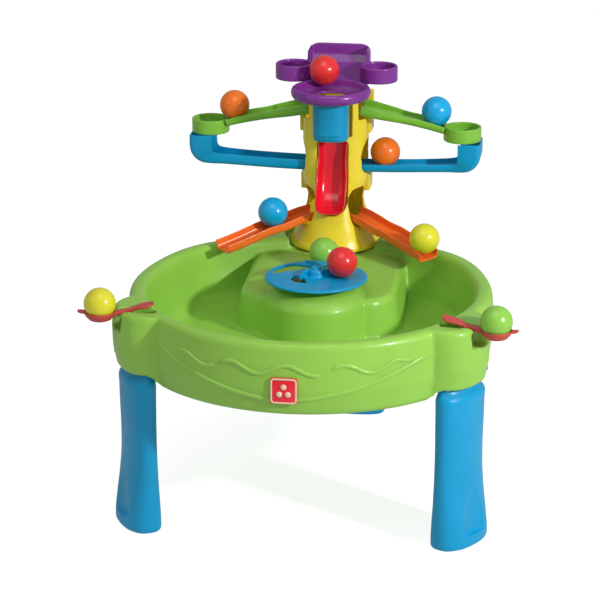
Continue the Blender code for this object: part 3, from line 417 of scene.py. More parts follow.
# -------------------------------------------------------------- tub outline
ANGLES = [i * 1.25 for i in range(288)]

# apron from bottom to top: offset from the outline, z
SKIRT = [(-0.010, SKIRT_BOTTOM), (-0.004, SKIRT_BOTTOM + 0.007), (0.003, 0.325),
         (0.004, 0.370), (0.001, 0.400), (-0.0025, 0.4070), (-0.008, RIM_Z)]


def round_r(angle):
    """Outer radius of the tub without its lobes; a little fuller at the rear."""
    radius = TUB_R
    for centre in (42.0, 138.0):
        radius += 0.012 * math.exp(-((wrap(angle - centre)) / 17.0) ** 2)
    return radius


def lobe_share(angle):
    """0 outside the front lobes, rising to 1 at their middle."""
    share = 0.0
    for centre in (LEFT_LOBE, RIGHT_LOBE):
        distance = abs(wrap(angle - centre)) / LOBE_HALF
        if distance < 1:
            share = 1 - distance ** 3
    return share


def rear_reach(angle):
    """Distance from the tub centre to the far edge of the round rear lobe."""
    cosine, sine = direction(angle)
    square = REAR_LOBE_R * REAR_LOBE_R - (TOWER_Y * cosine) ** 2
    if sine <= 0 or square <= 0:
        return 0.0
    return TOWER_Y * sine + math.sqrt(square)


def outer_r(angle, offset):
    return max(round_r(angle) + LOBE_OUT * lobe_share(angle), rear_reach(angle)) + offset


def outer_z(angle, z):
    share = min(1.0, lobe_share(angle) * 2.5)
    return z + LOBE_LIFT * share * (RIM_Z - z) / (RIM_Z - SKIRT_BOTTOM)


def leg_screw_places():
    """Tag, point on the apron and outward direction of each leg screw."""
    seat = 0.0006                # stands this far off the outline
    places = []
    for tag, angle in (("left", LEFT_LOBE - 5.5), ("right", RIGHT_LOBE + 5.5)):
        radius = outer_r(angle, seat)
        for letter, z in (("a", 0.322), ("b", 0.342)):
            places.append((tag + "_" + letter, polar(radius, angle, z), polar(1.0, angle, 0.0)))
    for letter, x in (("a", 0.022), ("b", -0.022)):
        y = TOWER_Y + math.sqrt((REAR_LOBE_R + seat) ** 2 - x * x)
        places.append(("rear_" + letter, (x, y, 0.335), (0.0, 1.0, 0.0)))
    return places


LEG_SCREWS = leg_screw_places()


def spoon_angle(side):
    return math.radians(side * -SPOON_TURN)


def spoon_axis(side):
    return (-math.sin(spoon_angle(side)), math.cos(spoon_angle(side)), 0.0)


def spoon_point(side, out, across, z):
    """Point measured outwards from the spoon pivot and across the spoon."""
    out_x, out_y = side * math.cos(spoon_angle(side)), side * math.sin(spoon_angle(side))
    return (side * SPOON_X + out_x * out - out_y * across,
            SPOON_Y + out_y * out + out_x * across, z)


# ----------------------------------------------------------------------- tub
# wall of the pool from the floor up: offset from the rim's inner edge, z
POOL = [(-0.052, FLOOR_Z), (-0.034, 0.3040), (-0.020, 0.320), (-0.010, 0.360),
        (-0.003, 0.400), (0.002, 0.4075), (0.008, 0.4112), (0.008, 0.43)]

# hollow under the rim, up the apron then down the pool: offset, z, drop at the rear lobe
HOLLOW_OUTER = [(-0.012, 0.26, 0.0), (0.0005, 0.330, 0.0), (0.0, 0.398, 0.013)]
HOLLOW_INNER = [(0.0105, 0.398, 0.013), (-0.002, 0.385, 0.004), (-0.0060, 0.358, 0.0),
                (-0.0155, 0.317, 0.0), (-0.031, 0.2995, 0.0), (-0.052, FLOOR_Z - 0.005, 0.0)]

# deck block and the hollow inside it: inset, drop below the deck's top
DECK_STEPS = [(0.0, 0.012), (0.003, 0.005), (0.010, 0.0005), (0.040, 0.0), (0.075, 0.0),
              (0.115, 0.0)]
DECK_HOLLOW_STEPS = [(0.002, 0.014), (0.009, 0.006), (0.040, 0.005), (0.075, 0.005),
                     (0.113, 0.005)]

# pedestal under the wheel and the hollow inside it: radius, z
PEDESTAL = [(0.0, 0.394), (0.063, 0.394), (0.078, 0.387), (0.088, 0.375),
            (0.0945, 0.364), (0.0965, 0.345), (0.101, 0.2985), (0.0, 0.2985)]
PEDESTAL_HOLLOW = [(0.014, 0.3885), (0.061, 0.3885), (0.0745, 0.382), (0.0835, 0.371),
                   (0.0895, 0.360), (0.095, 0.26), (0.014, 0.26)]
TOWER_SEAT = [(0.0, 0.43), (0.0975, 0.43), (0.0965, DECK_Z), (0.0, DECK_Z)]
# stepped screw hole through the apron: radius, distance outwards
APRON_HOLE = [(0, 0.03), (0.0047, 0.03), (0.0047, 0.0), (0.0022, 0.0), (0.0022, -0.03), (0, -0.03)]
LINER_INNER_R = 0.2995


def deck_solid(name, shrink, foot_inset, foot_z, steps):
    """Rounded block with draft, its top rising towards the tower."""
    def outline(inset):
        return rounded_rect(DECK_HALF - inset - shrink, DECK_FRONT_Y + inset + shrink,
                            DECK_REAR_Y - max(0.0, inset) - shrink, 0.062 - inset)

    def top(y):
        return DECK_LOW_Z + (DECK_Z - DECK_LOW_Z) * smooth01((y - 0.075) / 0.165)

    rings = [[(x, y, foot_z) for x, y in outline(foot_inset)]]
    for inset, drop in steps:
        rings.append([(x, y, top(y) - drop) for x, y in outline(inset)])
    return solid(name, rings)


def underside():
    """Open hollow under the rim."""
    def drop_share(angle):
        return smooth01((20.0 - abs(wrap(angle - 90.0))) / 4.0)

    rings = [[polar(outer_r(a, offset - SKIRT_WALL), a, z - drop * drop_share(a)) for a in ANGLES]
             for offset, z, drop in HOLLOW_OUTER]
    rings += [[polar(round_r(a) - RIM_W + offset, a, z - drop * drop_share(a)) for a in ANGLES]
              for offset, z, drop in HOLLOW_INNER]
    return solid("cut_underside", rings)


def lobe_liner(centre):
    """Solid filling of a front lobe, in which the spoon recess is cut."""
    rings = []
    for z, offset in ((0.3660, -0.0020), (0.4030, -0.0030)):
        ring = [polar(outer_r(centre + a, offset), centre + a, z)
                for a in [-8.0 + i for i in range(17)]]
        ring += [polar(LINER_INNER_R, centre + a, z) for a in (8.0, 4.0, 0.0, -4.0, -8.0)]
        rings.append(ring)
    return solid("add_liner", rings)


def spoon_box(name, side, near, far, half_width, z0, z1):
    """Box turned with the spoon; near and far are measured outwards from the pivot."""
    pivot_x = side * SPOON_X
    x0, x1 = sorted((pivot_x + side * near, pivot_x + side * far))
    return box(name, (x0, SPOON_Y - half_width, z0), (x1, SPOON_Y + half_width, z1),
               turn=side * -SPOON_TURN, about=(pivot_x, SPOON_Y))


def spoon_bore(side, half_length):
    return cylinder("cut_spoon_pin", PIN_BORE_R, half_length, -half_length,
                    (side * SPOON_X, SPOON_Y, SPOON_Z), 42, spoon_axis(side))


def tub():
    piece = solid("tub", [[polar(outer_r(a, offset), a, outer_z(a, z)) for a in ANGLES]
                          for offset, z in SKIRT])
    cut(piece, solid("cut_pool", [[polar(round_r(a) - RIM_W + offset, a, z) for a in ANGLES]
                                  for offset, z in POOL]))
    add(piece, deck_solid("add_deck", 0.0, -0.010, 0.2985, DECK_STEPS))
    add(piece, lathe("add_pedestal", PEDESTAL, SPIN_AT, 96))
    cut(piece, lathe("cut_tower_seat", TOWER_SEAT, (0, TOWER_Y, 0), 108))
    cut(piece, underside())
    cut(piece, deck_solid("cut_deck_inside", 0.003, -0.005, 0.26, DECK_HOLLOW_STEPS))
    cut(piece, lathe("cut_pedestal_inside", PEDESTAL_HOLLOW, SPIN_AT, 96))
    for centre in (LEFT_LOBE, RIGHT_LOBE):
        add(piece, lobe_liner(centre))
    cut(piece, cylinder("cut_drain", 0.0105, 0.32, 0.28, DRAIN_AT, 60))
    # notch through the lobe, bay inboard of the pivot, pocket outboard, pin hole
    for side, _ in SIDES:
        cut(piece, spoon_box("cut_notch", side, -0.034, 0.034, 0.0115, 0.386, 0.43))
        cut(piece, spoon_box("cut_bay", side, -0.0485, -0.0085, 0.0168, 0.3870, 0.4310))
        cut(piece, spoon_box("cut_pocket", side, 0.008, 0.052, 0.019, 0.372, 0.401))
        cut(piece, spoon_bore(side, 0.0185))
    for _, point, out in LEG_SCREWS:
        cut(piece, lathe("cut_apron_screw", APRON_HOLE, point, 20, out))
    for x, y, _ in TOWER_SCREWS.values():
        cut(piece, cylinder("cut_deck_screw", 0.0024, 0.40, 0.375, (x, y, 0), 20))
    cut(piece, cylinder("cut_post", 0.0055, 0.40, 0.352, SPIN_AT, 48))
    mould(piece, 0.0026, 9)
    return join(piece, *apron_relief())


# -------------------------------------------------------------- apron relief
BEAD_SECTION = 10        # points round a bead
BEAD_TAPER = 6           # stations over which a bead thins out at its ends
APRON_WAVES = ((-38.5, -22.0), (-19.8, 10.5), (14.2, 40.0))   # degrees right of front centre


def bead(name, centres, radius):
    """Thin raised bead along a list of (centre point, outward normal)."""
    points = [point for point, _ in centres]
    rings = []
    for i, (point, normal) in enumerate(centres):
        tangent = path_tangent(points, i)
        tangent /= np.linalg.norm(tangent)
        normal = np.array(normal, float)
        across = np.cross(tangent, normal)
        across /= np.linalg.norm(across)
        share = min(1.0, (i + 0.6) / BEAD_TAPER, (len(centres) - 1 - i + 0.6) / BEAD_TAPER)
        size = radius * math.sqrt(max(0.02, share))
        rings.append([tuple(np.array(point) + across * size * math.cos(a) * 1.15
                            + normal * size * 0.60 * math.sin(a)) for a in circle(BEAD_SECTION)])
    return solid(name, rings)


def on_apron(right, z):
    """Point and normal on the apron, some degrees right of the front centre."""
    angle = -90.0 + right
    offset = float(np.interp(z, [height for _, height in SKIRT], [out for out, _ in SKIRT]))
    return polar(outer_r(angle, offset) + 0.0002, angle, z), polar(1.0, angle, 0.0)


def wave_z(right):
    if right < -33:
        return 0.3735 - (right + 38.5) * 0.0001
    if right > 36:
        return 0.3685 + 0.0020 * math.cos((right - 36) * 0.5)
    return 0.3645 + 0.0085 * math.cos(2 * math.pi * (right - 0.5) / 17.2)


def apron_relief():
    """A long sagging line and a broken wave above it."""
    line = []
    for i in range(161):
        right = -46.5 + 93.0 * i / 160
        z = 0.3085 + 0.00014 * abs(right + 1.0) ** 1.6 - 0.0035 * max(0.0, right - 40) / 10
        line.append(on_apron(right, z))
    beads = [bead("apron_line", line, 0.0036)]
    for start, end in APRON_WAVES:
        count = int((end - start) * 4)
        turns = [start + (end - start) * i / count for i in range(count + 1)]
        wave = [on_apron(right, wave_z(right)) for right in turns]
        beads.append(bead("apron_wave", wave, 0.0034))
    return beads


# ---------------------------------------------------------------------- legs
# name, angle, radius, widening below and above z = 0.27, z where the top tapers, outer limit
LEGS = [("front_left_leg", LEFT_LOBE, FRONT_LEG_R, 1.0, 1.0, 0.2805, math.inf),
        ("front_right_leg", RIGHT_LOBE, FRONT_LEG_R, 1.0, 1.0, 0.2805, math.inf),
        ("rear_leg", 90.0, REAR_LEG_R, 1.36, 1.2, 0.262, 0.4420)]

# z, half thickness, half width, outward lean
LEG_PROFILE = [
    (0.0, 0.0310, 0.0620, 0.0035), (0.003, 0.0335, 0.0645, 0.0035),
    (0.012, 0.0340, 0.0655, 0.0035), (0.045, 0.0318, 0.0645, 0.0024),
    (0.085, 0.0276, 0.0625, 0.0008), (0.130, 0.0242, 0.0610, -0.0006),
    (0.180, 0.0234, 0.0606, -0.0006), (0.235, 0.0243, 0.0612, 0.0),
    (0.262, 0.0246, 0.0612, 0.0), (0.2805, 0.0246, 0.0610, 0.0),
    (0.2935, 0.0226, 0.0550, 0.0), (0.315, 0.0222, 0.0540, 0.0), (0.352, 0.0214, 0.0530, 0.0)]
LEG_POWER = 2 / 2.6      # squareness of the section
SCOOP_HALF = 0.040


def leg_ring(angle, leg_r, half_thick, half_wide, z, lean):
    ring = []
    for a in circle(72):
        out = half_thick * signed_power(math.cos(a), LEG_POWER)
        across = half_wide * signed_power(math.sin(a), LEG_POWER)
        sag = (across * across) / (2 * leg_r) * 0.9     # follow the curve of the tub
        ring.append(turned(angle, leg_r + out - sag + lean, across, z))
    return ring


def leg_scoop(angle, leg_r):
    """Long tongue-shaped cutter for the outer face."""
    rings = []
    for k in range(9):
        z = 0.022 + 0.165 * k / 8.0
        half = SCOOP_HALF * math.sqrt(max(0.02, 1 - (abs(k - 2.6) / 5.6) ** 2.2))
        rings.append([turned(angle, leg_r + 0.0375 + 0.0125 * math.cos(a) * (half / SCOOP_HALF),
                             half * math.sin(a), z) for a in circle(48)])
    return solid("cut_scoop", rings)


def leg(name, angle, leg_r, widen_low, widen_top, taper_z, limit):
    """Leg with a slightly waisted section; its top tapers to fit inside the apron."""
    rings = []
    for z, half_thick, half_wide, lean in LEG_PROFILE:
        half_wide *= widen_top if z > 0.27 else widen_low
        share = smooth01((z - taper_z) / 0.013)
        ring = []
        for x, y, _ in leg_ring(angle, leg_r, half_thick, half_wide, z, lean):
            radius = math.hypot(x, y)
            inside = min(outer_r(math.degrees(math.atan2(y, x)), -0.0160), limit)
            if share > 0 and radius > inside:
                tapered = radius + (inside - radius) * share
                x, y = x * tapered / radius, y * tapered / radius
            ring.append((x, y, z))
        rings.append(ring)
    piece = solid(name, refine(rings, 5))
    cut(piece, leg_scoop(angle, leg_r))
    for tag, point, out in LEG_SCREWS:
        if tag.split("_")[0] in name.split("_"):
            cut(piece, cylinder("cut_leg_screw", 0.0022, 0.003, -0.0315, point, 20, out))
    return mould(piece, 0.0024, 8)


# -------------------------------------------------------- screws, drain plug
HEAD_H, HEAD_R, SHANK_R = 0.0022, 0.0042, 0.0018
SLOT_HALF_LENGTH, SLOT_HALF_WIDTH = 0.0023, 0.00042


def screw(name, point, out, shank):
    """Pan head screw with a cross recess; the point is under the head, out is outwards."""
    profile = [(0.0, HEAD_H), (HEAD_R * 0.72, HEAD_H), (HEAD_R, 0.0004),
               (SHANK_R, 0.0004), (SHANK_R, -shank), (0.0, -shank)]
    piece = lathe(name, profile, point, 16, out)
    axis = Vector(out).normalized()
    side = axis.orthogonal().normalized()
    other = axis.cross(side)
    top = Vector(point) + axis * HEAD_H
    for along, across in ((side, other), (other, side)):
        verts = [top + along * (SLOT_HALF_LENGTH * i) + across * (SLOT_HALF_WIDTH * j)
                 + axis * height
                 for height in (-0.0009, 0.0006)
                 for i, j in ((-1, -1), (1, -1), (1, 1), (-1, 1))]
        cut(piece, to_object("cut_recess", verts, BOX_FACES, smooth=False))
    return soften(piece, 0.00018, 2)


def drain_plug():
    # radius, height above the pool floor
    profile = [(0.0, 0.0060), (0.0040, 0.0058), (0.0050, 0.0030), (0.0140, 0.0024),
               (0.0150, 0.0005), (0.0100, 0.0005), (0.0096, -0.0080), (0.0080, -0.0095),
               (0.0, -0.0095)]
    return soften(lathe("drain_plug", [(radius, FLOOR_Z + z) for radius, z in profile],
                        DRAIN_AT, 72), 0.0005)


# ------------------------------------------------------------------- channels
def u_ring(floor, side, up, half, depth, corner, wall=CHANNEL_WALL, steps=8):
    """Open U-section: outer line, then the inner line back."""
    inner = max(corner - wall, 0.001)
    outer_line = [(-half, depth)]
    outer_line += arc(-half + corner, corner, corner, 180, 90.0, steps)
    outer_line += arc(half - corner, corner, corner, 270, 90.0, steps)
    outer_line.append((half, depth))
    inner_line = [(-half + wall, depth)]
    inner_line += arc(-half + wall + inner, wall + inner, inner, 180, 90.0, steps)
    inner_line += arc(half - wall - inner, wall + inner, inner, 270, 90.0, steps)
    inner_line.append((half - wall, depth))
    return [floor + side * across + up * rise for across, rise in outer_line + inner_line[::-1]]


def channel(name, stations, corner):
    """Swept open channel; stations are (floor point, across vector, half width, depth)."""
    points = [station[0] for station in stations]
    rings = []
    for i, (point, side, half, depth) in enumerate(stations):
        tangent = path_tangent(points, i)
        tangent /= np.linalg.norm(tangent)
        side = np.array(side, float)
        side -= tangent * np.dot(side, tangent)
        side /= np.linalg.norm(side)
        up = np.cross(side, tangent)
        if up[2] < 0:
            up = -up
        rings.append(u_ring(np.array(point, float), side, up, half, depth, corner))
    return walled(name, refine(rings, 6))


# floor x, floor z, depth, half width
UPPER_RAMP = [(0.0480, 0.6490, 0.0225, 0.0315), (0.065, 0.6465, 0.0215, 0.0315),
              (0.085, 0.6430, 0.0195, 0.0315), (0.110, 0.6390, 0.0175, 0.0290),
              (0.135, 0.6340, 0.0165, 0.0245), (0.160, 0.6292, 0.0165, 0.0245),
              (0.185, 0.6236, 0.0163, 0.0245), (0.208, 0.6175, 0.0150, 0.0245)]


def upper_ramp(side, tag):
    """Channel from the tower out to the ring-shaped cup."""
    piece = channel(tag + "_upper_ramp",
                    [((side * x, RAMP_Y, z), (0, 1, 0), half, depth)
                     for x, z, depth, half in UPPER_RAMP], corner=0.010)
    cup_at = (side * CUP_X, RAMP_Y, 0)
    cut(piece, cylinder("cut_cup", CUP_R - 0.0022, 0.66, 0.58, cup_at, 69))
    ring = [(CUP_R - 0.0045, CUP_Z1 - 0.001), (CUP_R - 0.002, CUP_Z1), (CUP_R, CUP_Z1 - 0.001),
            (CUP_R, CUP_Z0 + 0.001), (CUP_R - 0.001, CUP_Z0), (CUP_R - 0.0045, CUP_Z0)]
    add(piece, lathe("add_cup", ring, cup_at, 84))
    return mould(piece, 0.0012, 4)


# floor x, floor z, rail x, rail z, half width; rails of the run rise by its depth
TROUGH_RUN = [(0.0440, 0.5370, 0.0440, 0.5370, 0.0235), (0.0700, 0.5375, 0.0700, 0.5375, 0.0235),
              (0.1100, 0.5385, 0.1100, 0.5385, 0.0235), (0.1500, 0.5400, 0.1500, 0.5400, 0.0235),
              (0.1900, 0.5420, 0.1895, 0.5420, 0.0245), (0.2200, 0.5435, 0.2180, 0.5440, 0.0260),
              (0.2440, 0.5445, 0.2300, 0.5455, 0.0290), (0.2581, 0.5474, 0.2335, 0.5475, 0.0310),
              (0.2695, 0.5550, 0.2355, 0.5500, 0.0330), (0.2774, 0.5670, 0.2365, 0.5540, 0.0345)]
TROUGH_CATCHER = [(0.2800, 0.5805, 0.2370, 0.5830, 0.0355),
                  (0.2800, 0.5920, 0.2370, 0.5930, 0.0360),
                  (0.2800, 0.6020, 0.2370, 0.6020, 0.0365)]


def return_trough(side, tag):
    """Nearly level trough that turns up into a deep catcher under the cup."""
    run_depth = 0.0215 if side < 0 else 0.0165
    stations = [(floor_x, floor_z, rail_x, rail_z + run_depth, half)
                for floor_x, floor_z, rail_x, rail_z, half in TROUGH_RUN] + TROUGH_CATCHER
    rings = []
    for floor_x, floor_z, rail_x, rail_z, half in stations:
        floor = np.array((side * floor_x, RAMP_Y, floor_z), float)
        rise = np.array((side * rail_x, RAMP_Y, rail_z), float) - floor
        depth = float(np.linalg.norm(rise))
        rings.append(u_ring(floor, np.array((0.0, 1.0, 0.0)), rise / depth, half, depth, 0.0095))
    return soften(walled(tag + "_return_trough", refine(rings, 6)), 0.0011)


SLIDE_COS, SLIDE_SIN = direction(-38.7)     # heading of the right slide
SLIDE_X0 = 0.0105
SLIDE_DISTANCE = [0.030, 0.055, 0.080, 0.110, 0.140, 0.170, 0.200, 0.236]   # from the start
SLIDE_FLOOR_Z = [0.4470, 0.4445, 0.4395, 0.4325, 0.4290, 0.4215, 0.4140, 0.4065]
SLIDE_DEPTH = 0.0185
SLIDE_HALF = 0.0245


def slide_point(side, distance, z):
    return (side * (SLIDE_X0 + distance * SLIDE_COS), RAMP_Y + distance * SLIDE_SIN, z)


def ball_on_slide(side, distance):
    """Centre of a ball resting on the walls of a lower slide."""
    reach = 0.012                # the slope is taken this far each way
    z0 = np.interp(distance - reach, SLIDE_DISTANCE, SLIDE_FLOOR_Z)
    z1 = np.interp(distance + reach, SLIDE_DISTANCE, SLIDE_FLOOR_Z)
    slope = math.atan2(z0 - z1, 2 * reach)
    half = SLIDE_HALF - CHANNEL_WALL
    lift = SLIDE_DEPTH + math.sqrt(BALL_R ** 2 - half ** 2) + 0.0009
    return slide_point(side, distance + lift * math.sin(slope),
                       float((z0 + z1) / 2 + lift * math.cos(slope)))


def lower_slide(side, tag):
    points = [slide_point(side, d, z) for d, z in zip(SLIDE_DISTANCE, SLIDE_FLOOR_Z)]
    stations = []
    for i, point in enumerate(points):
        tangent = path_tangent(points, i)
        stations.append((point, (-tangent[1], tangent[0], 0), SLIDE_HALF, SLIDE_DEPTH))
    return soften(channel(tag + "_lower_slide", stations, corner=0.0090), 0.0011)


# --------------------------------------------------------------------- tower
# z, half width, rear depth, front depth, squareness
TOWER = [(0.3924, 0.0880, 0.0880, 0.0880, 2.0), (0.3990, 0.0880, 0.0880, 0.0880, 2.0),
         (0.4070, 0.0830, 0.0830, 0.0850, 2.0), (0.4300, 0.0720, 0.0740, 0.0790, 2.05),
         (0.4600, 0.0585, 0.0660, 0.0700, 2.2), (0.4850, 0.0540, 0.0640, 0.0620, 2.3),
         (0.5000, 0.0560, 0.0640, 0.0590, 2.4), (0.5250, 0.0625, 0.0640, 0.0560, 2.5),
         (0.6150, 0.0620, 0.0640, 0.0530, 2.5), (0.6940, 0.0600, 0.0640, 0.0500, 2.5)]
TOWER_WALL = 0.0036
EARS = ((0.612, 0.688, 0.0690), (0.497, 0.530, 0.0668))     # bottom, top, half width
SCREW_BOSS = [(0.0021, 0.4155), (0.0062, 0.4155), (0.0068, 0.3932), (0.0021, 0.3932)]
ARCH_HALF, ARCH_CORNER = 0.0300, 0.0150


def tower_ring(half_x, rear, front, z, squareness):
    ring = []
    for a in circle(112):
        depth = rear if math.sin(a) > 0 else front
        ring.append((half_x * signed_power(math.cos(a), 2 / squareness),
                     TOWER_Y + depth * signed_power(math.sin(a), 2 / squareness), z))
    return ring


def tower_solid(name, inset=0.0, overrun=0.0):
    """Body of the tower, shrunk by the inset and lengthened at both ends."""
    rings = []
    for i, (z, half_x, rear, front, squareness) in enumerate(TOWER):
        if i == 0:
            z -= overrun
        if i == len(TOWER) - 1:
            z += overrun
        rings.append(tower_ring(half_x - inset, rear - inset, front - inset, z, squareness))
    return solid(name, refine(rings, 4))


def arched(angle, half, rise, fall, across_power, fall_power):
    """Point of an opening with a round top and a flatter bottom: across, height."""
    across = half * signed_power(math.cos(angle), across_power)
    sine = math.sin(angle)
    return across, rise * sine if sine > 0 else fall * signed_power(sine, fall_power)


def cut_side_openings(shell, side):
    """Openings for the upper ramp, the return trough and the lower slide."""
    x0, x1 = sorted((side * 0.040, side * 0.09))
    cut(shell, box("cut_upper", (x0, RAMP_Y - 0.0345, 0.6440), (x1, RAMP_Y + 0.0345, 0.7300)))

    outline = [arched(a, 0.0325, 0.036, 0.0288, 0.8, 0.55) for a in circle(48)]
    cut(shell, solid("cut_middle", [[(x, RAMP_Y + across, 0.5640 + height)
                                     for across, height in outline]
                                    for x in (side * 0.038, side * 0.085)]))

    outline = [arched(a, 0.0270, 0.0345, 0.0380, 0.6, 0.4) for a in circle(48)]
    rings = []
    for distance in (0.026, 0.110):
        x, y, z = slide_point(side, distance, 0.4770 - 0.16 * (distance - 0.045))
        rings.append([(x + side * SLIDE_SIN * across, y - SLIDE_COS * across, z + height)
                      for across, height in outline])
    cut(shell, solid("cut_lower", rings))


def cut_front_windows(shell):
    """Square window for the drop cover and an arched one for the red slide below it."""
    square = [(0.0360, 0.6135), (0.0360, 0.7200), (-0.0360, 0.7200), (-0.0360, 0.6135)]
    cut(shell, solid("cut_window", [[(x, y, z) for x, z in square] for y in (0.20, 0.318)]))
    shoulder_x, shoulder_z = ARCH_HALF - ARCH_CORNER, 0.6095 - ARCH_CORNER
    outline = arc(shoulder_x, shoulder_z, ARCH_CORNER, 0.0, 90.0, 12)
    outline += arc(-shoulder_x, shoulder_z, ARCH_CORNER, 90.0, 90.0, 12)
    outline += [(ARCH_HALF * x, 0.4900 + 0.0290 * z) for x, z in arc(0, 0, 1.0, 180, 180, 32)]
    cut(shell, solid("cut_arch", [[(x, y, z) for x, z in outline] for y in (0.19, 0.319)]))


def tower_half(name, front):
    shell = tower_solid(name)
    if not front:
        # side ears beside the ramps and troughs
        for side, _ in SIDES:
            for z0, z1, half_x in EARS:
                x0, x1 = sorted((side * 0.045, side * half_x))
                add(shell, box("add_ear", (x0, TOWER_Y - 0.006, z0), (x1, TOWER_Y + 0.040, z1)))
    cut(shell, tower_solid("cut_inside", inset=TOWER_WALL, overrun=0.01))
    # take away the other half
    if front:
        cut(shell, box("cut_half", (-0.2, TOWER_Y - 0.0063, 0.35), (0.2, 0.6, 0.75)))
    else:
        cut(shell, box("cut_half", (-0.2, 0.0, 0.35), (0.2, TOWER_Y - 0.0060, 0.75)))
    for x, y, _ in TOWER_SCREWS.values():
        if (y < TOWER_Y) == front:
            add(shell, lathe("add_boss", SCREW_BOSS, (x, y, 0), 36))
    for side, _ in SIDES:
        cut_side_openings(shell, side)
    if front:
        cut_front_windows(shell)
    return mould(shell, 0.0017, 5)


COVER_HALF, COVER_REACH, COVER_Y = 0.0340, 0.0400, 0.2700
# z, share of the full reach
COVER = [(0.6140, 0.70), (0.6165, 0.86), (0.6220, 0.96), (0.6260, 0.97),
         (0.6270, 1.0), (0.6400, 1.0), (0.6600, 1.0), (0.6895, 1.0)]


def drop_cover():
    """Half-round cover at the upper front of the tower."""
    def front_line(half, reach, z):
        return [(half * signed_power(cosine, 0.8), COVER_Y - reach * abs(sine) ** 0.8, z)
                for cosine, sine in arc(0.0, 0.0, 1.0, 180, 180, 48)]

    rings = []
    for z, share in COVER:
        half = COVER_HALF * (0.80 + 0.20 * share)
        reach = COVER_REACH * share
        inner = front_line(half - CHANNEL_WALL, reach - CHANNEL_WALL, z)
        rings.append(front_line(half, reach, z) + inner[::-1])
    return soften(walled("front_drop_cover", refine(rings, 5)), 0.0010)


# y, z, depth
FRONT_SLIDE = [(0.3120, 0.6080, 0.0150), (0.3110, 0.5900, 0.0195), (0.3085, 0.5600, 0.0245),
               (0.3045, 0.5350, 0.0275), (0.2980, 0.5120, 0.0290), (0.2880, 0.4930, 0.0285),
               (0.2740, 0.4790, 0.0260), (0.2600, 0.4725, 0.0215), (0.2480, 0.4705, 0.0165)]


def front_slide():
    """Steep red chute inside the front window, curving out at the foot."""
    points = [(0.0, y, z) for y, z, _ in FRONT_SLIDE]
    rings = []
    for i, (_, _, depth) in enumerate(FRONT_SLIDE):
        tangent = path_tangent(points, i)
        tangent /= np.linalg.norm(tangent)
        up = np.array((0.0, tangent[2], -tangent[1]))       # to the front and up
        half = 0.0272 + (0.0018 if 2 < i < 8 else 0.0)
        rings.append(u_ring(np.array(points[i]), np.array((1.0, 0.0, 0.0)), up, half, depth,
                            corner=min(0.0190, depth - 0.001), wall=0.0026, steps=10))
    return mould(walled("front_slide", refine(rings, 5)), 0.0008, 6)


# ----------------------------------------------------------------- tower top
# heights in these tables are above FUNNEL_Z
CAP_PLATE = [(0.3180, -0.0180, -0.0060, 0.0600), (0.3437, -0.0187, 0.0072, 0.0600),
             (0.3700, -0.0190, 0.0230, 0.0590), (0.3960, -0.0190, 0.0310, 0.0580)]
BACK_WALL = [(-0.0185, 0.0), (0.0420, 0.0), (0.0500, 0.0035), (0.0530, 0.0090)]
TRAY_SCOOP = [(0.30, -0.0098), (0.3400, -0.0065), (0.3600, 0.0030), (0.3900, 0.0190),
              (0.4000, 0.0330), (0.4040, 0.0700)]
LOOP_RING = [(0.0310, 0.0245), (0.0325, 0.0262), (0.0345, 0.0262), (0.0360, 0.0245),
             (0.0360, -0.0030), (0.0350, -0.0040), (0.0310, -0.0040)]
FUNNEL_RING = [(0.0320, -0.0155), (0.0320, -0.0192), (0.0400, -0.0210), (0.0640, -0.0214),
               (0.0705, -0.0194), (0.0745, -0.0138), (0.0754, -0.0068), (0.0728, -0.0010),
               (0.0685, 0.0009), (0.0640, -0.0008), (0.0602, -0.0058), (0.0562, -0.0105),
               (0.0450, -0.0137)]


def ball_drop_top():
    """Purple top: front funnel ring, two side loops and a raised back tray."""
    def ring_lathe(name, profile, origin, steps):
        return lathe(name, [(r, FUNNEL_Z + z) for r, z in profile], origin, steps)

    # cap plate over the tower, rising to the back: y, bottom, top, half width
    rings = []
    for y, bottom, top, half in CAP_PLATE:
        z0, z1 = FUNNEL_Z + bottom, FUNNEL_Z + top
        rings.append([(-half, y, z0), (half, y, z0), (half, y, z1), (-half, y, z1)])
    piece = solid("ball_drop_top", rings)
    # back block: height, inset
    rings = []
    for height, inset in BACK_WALL:
        outline = rounded_rect(0.0595 - inset, 0.3565 + inset * 0.3, 0.4120 - inset * 0.5, 0.016)
        rings.append([(x, y, FUNNEL_Z + height) for x, y in outline])
    add(piece, solid("add_back", rings))
    # scoop that leaves the tray open to the front: y, height of its floor
    half, top = 0.0545, FUNNEL_Z + 0.10
    rings = []
    for y, height in TRAY_SCOOP:
        z = FUNNEL_Z + height
        rings.append([(-half, y, z), (half, y, z), (half, y - 0.020, top),
                      (-half, y - 0.020, top)])
    cut(piece, solid("cut_scoop", rings))
    loop_places = [(side * LOOP_X, LOOP_Y, 0) for side, _ in SIDES]
    for place in loop_places:
        cut(piece, cylinder("cut_loop", 0.0334, FUNNEL_Z + 0.09, FUNNEL_Z - 0.03, place, 69))
    cut(piece, cylinder("cut_mouth", 0.0692, FUNNEL_Z + 0.06, FUNNEL_Z - 0.04, FUNNEL_AT, 93))
    for place in loop_places:
        add(piece, ring_lathe("add_loop", LOOP_RING, place, 84))
    add(piece, ring_lathe("add_funnel", FUNNEL_RING, FUNNEL_AT, 108))
    return mould(piece, 0.0014, 6)


# --------------------------------------------------------------------- wheel
# inner radius, outer radius, start, end, twist of the inner edge
WHEEL_HOLES = ((0.048, 0.087, 122, 178, -22), (0.026, 0.052, 196, 256, -10),
               (0.048, 0.082, 64, 86, 0))
WHEEL_VANES = ((111.3, 0.0690), (51.0, 0.0660), (-127.4, 0.0300))   # angle of the tip, reach


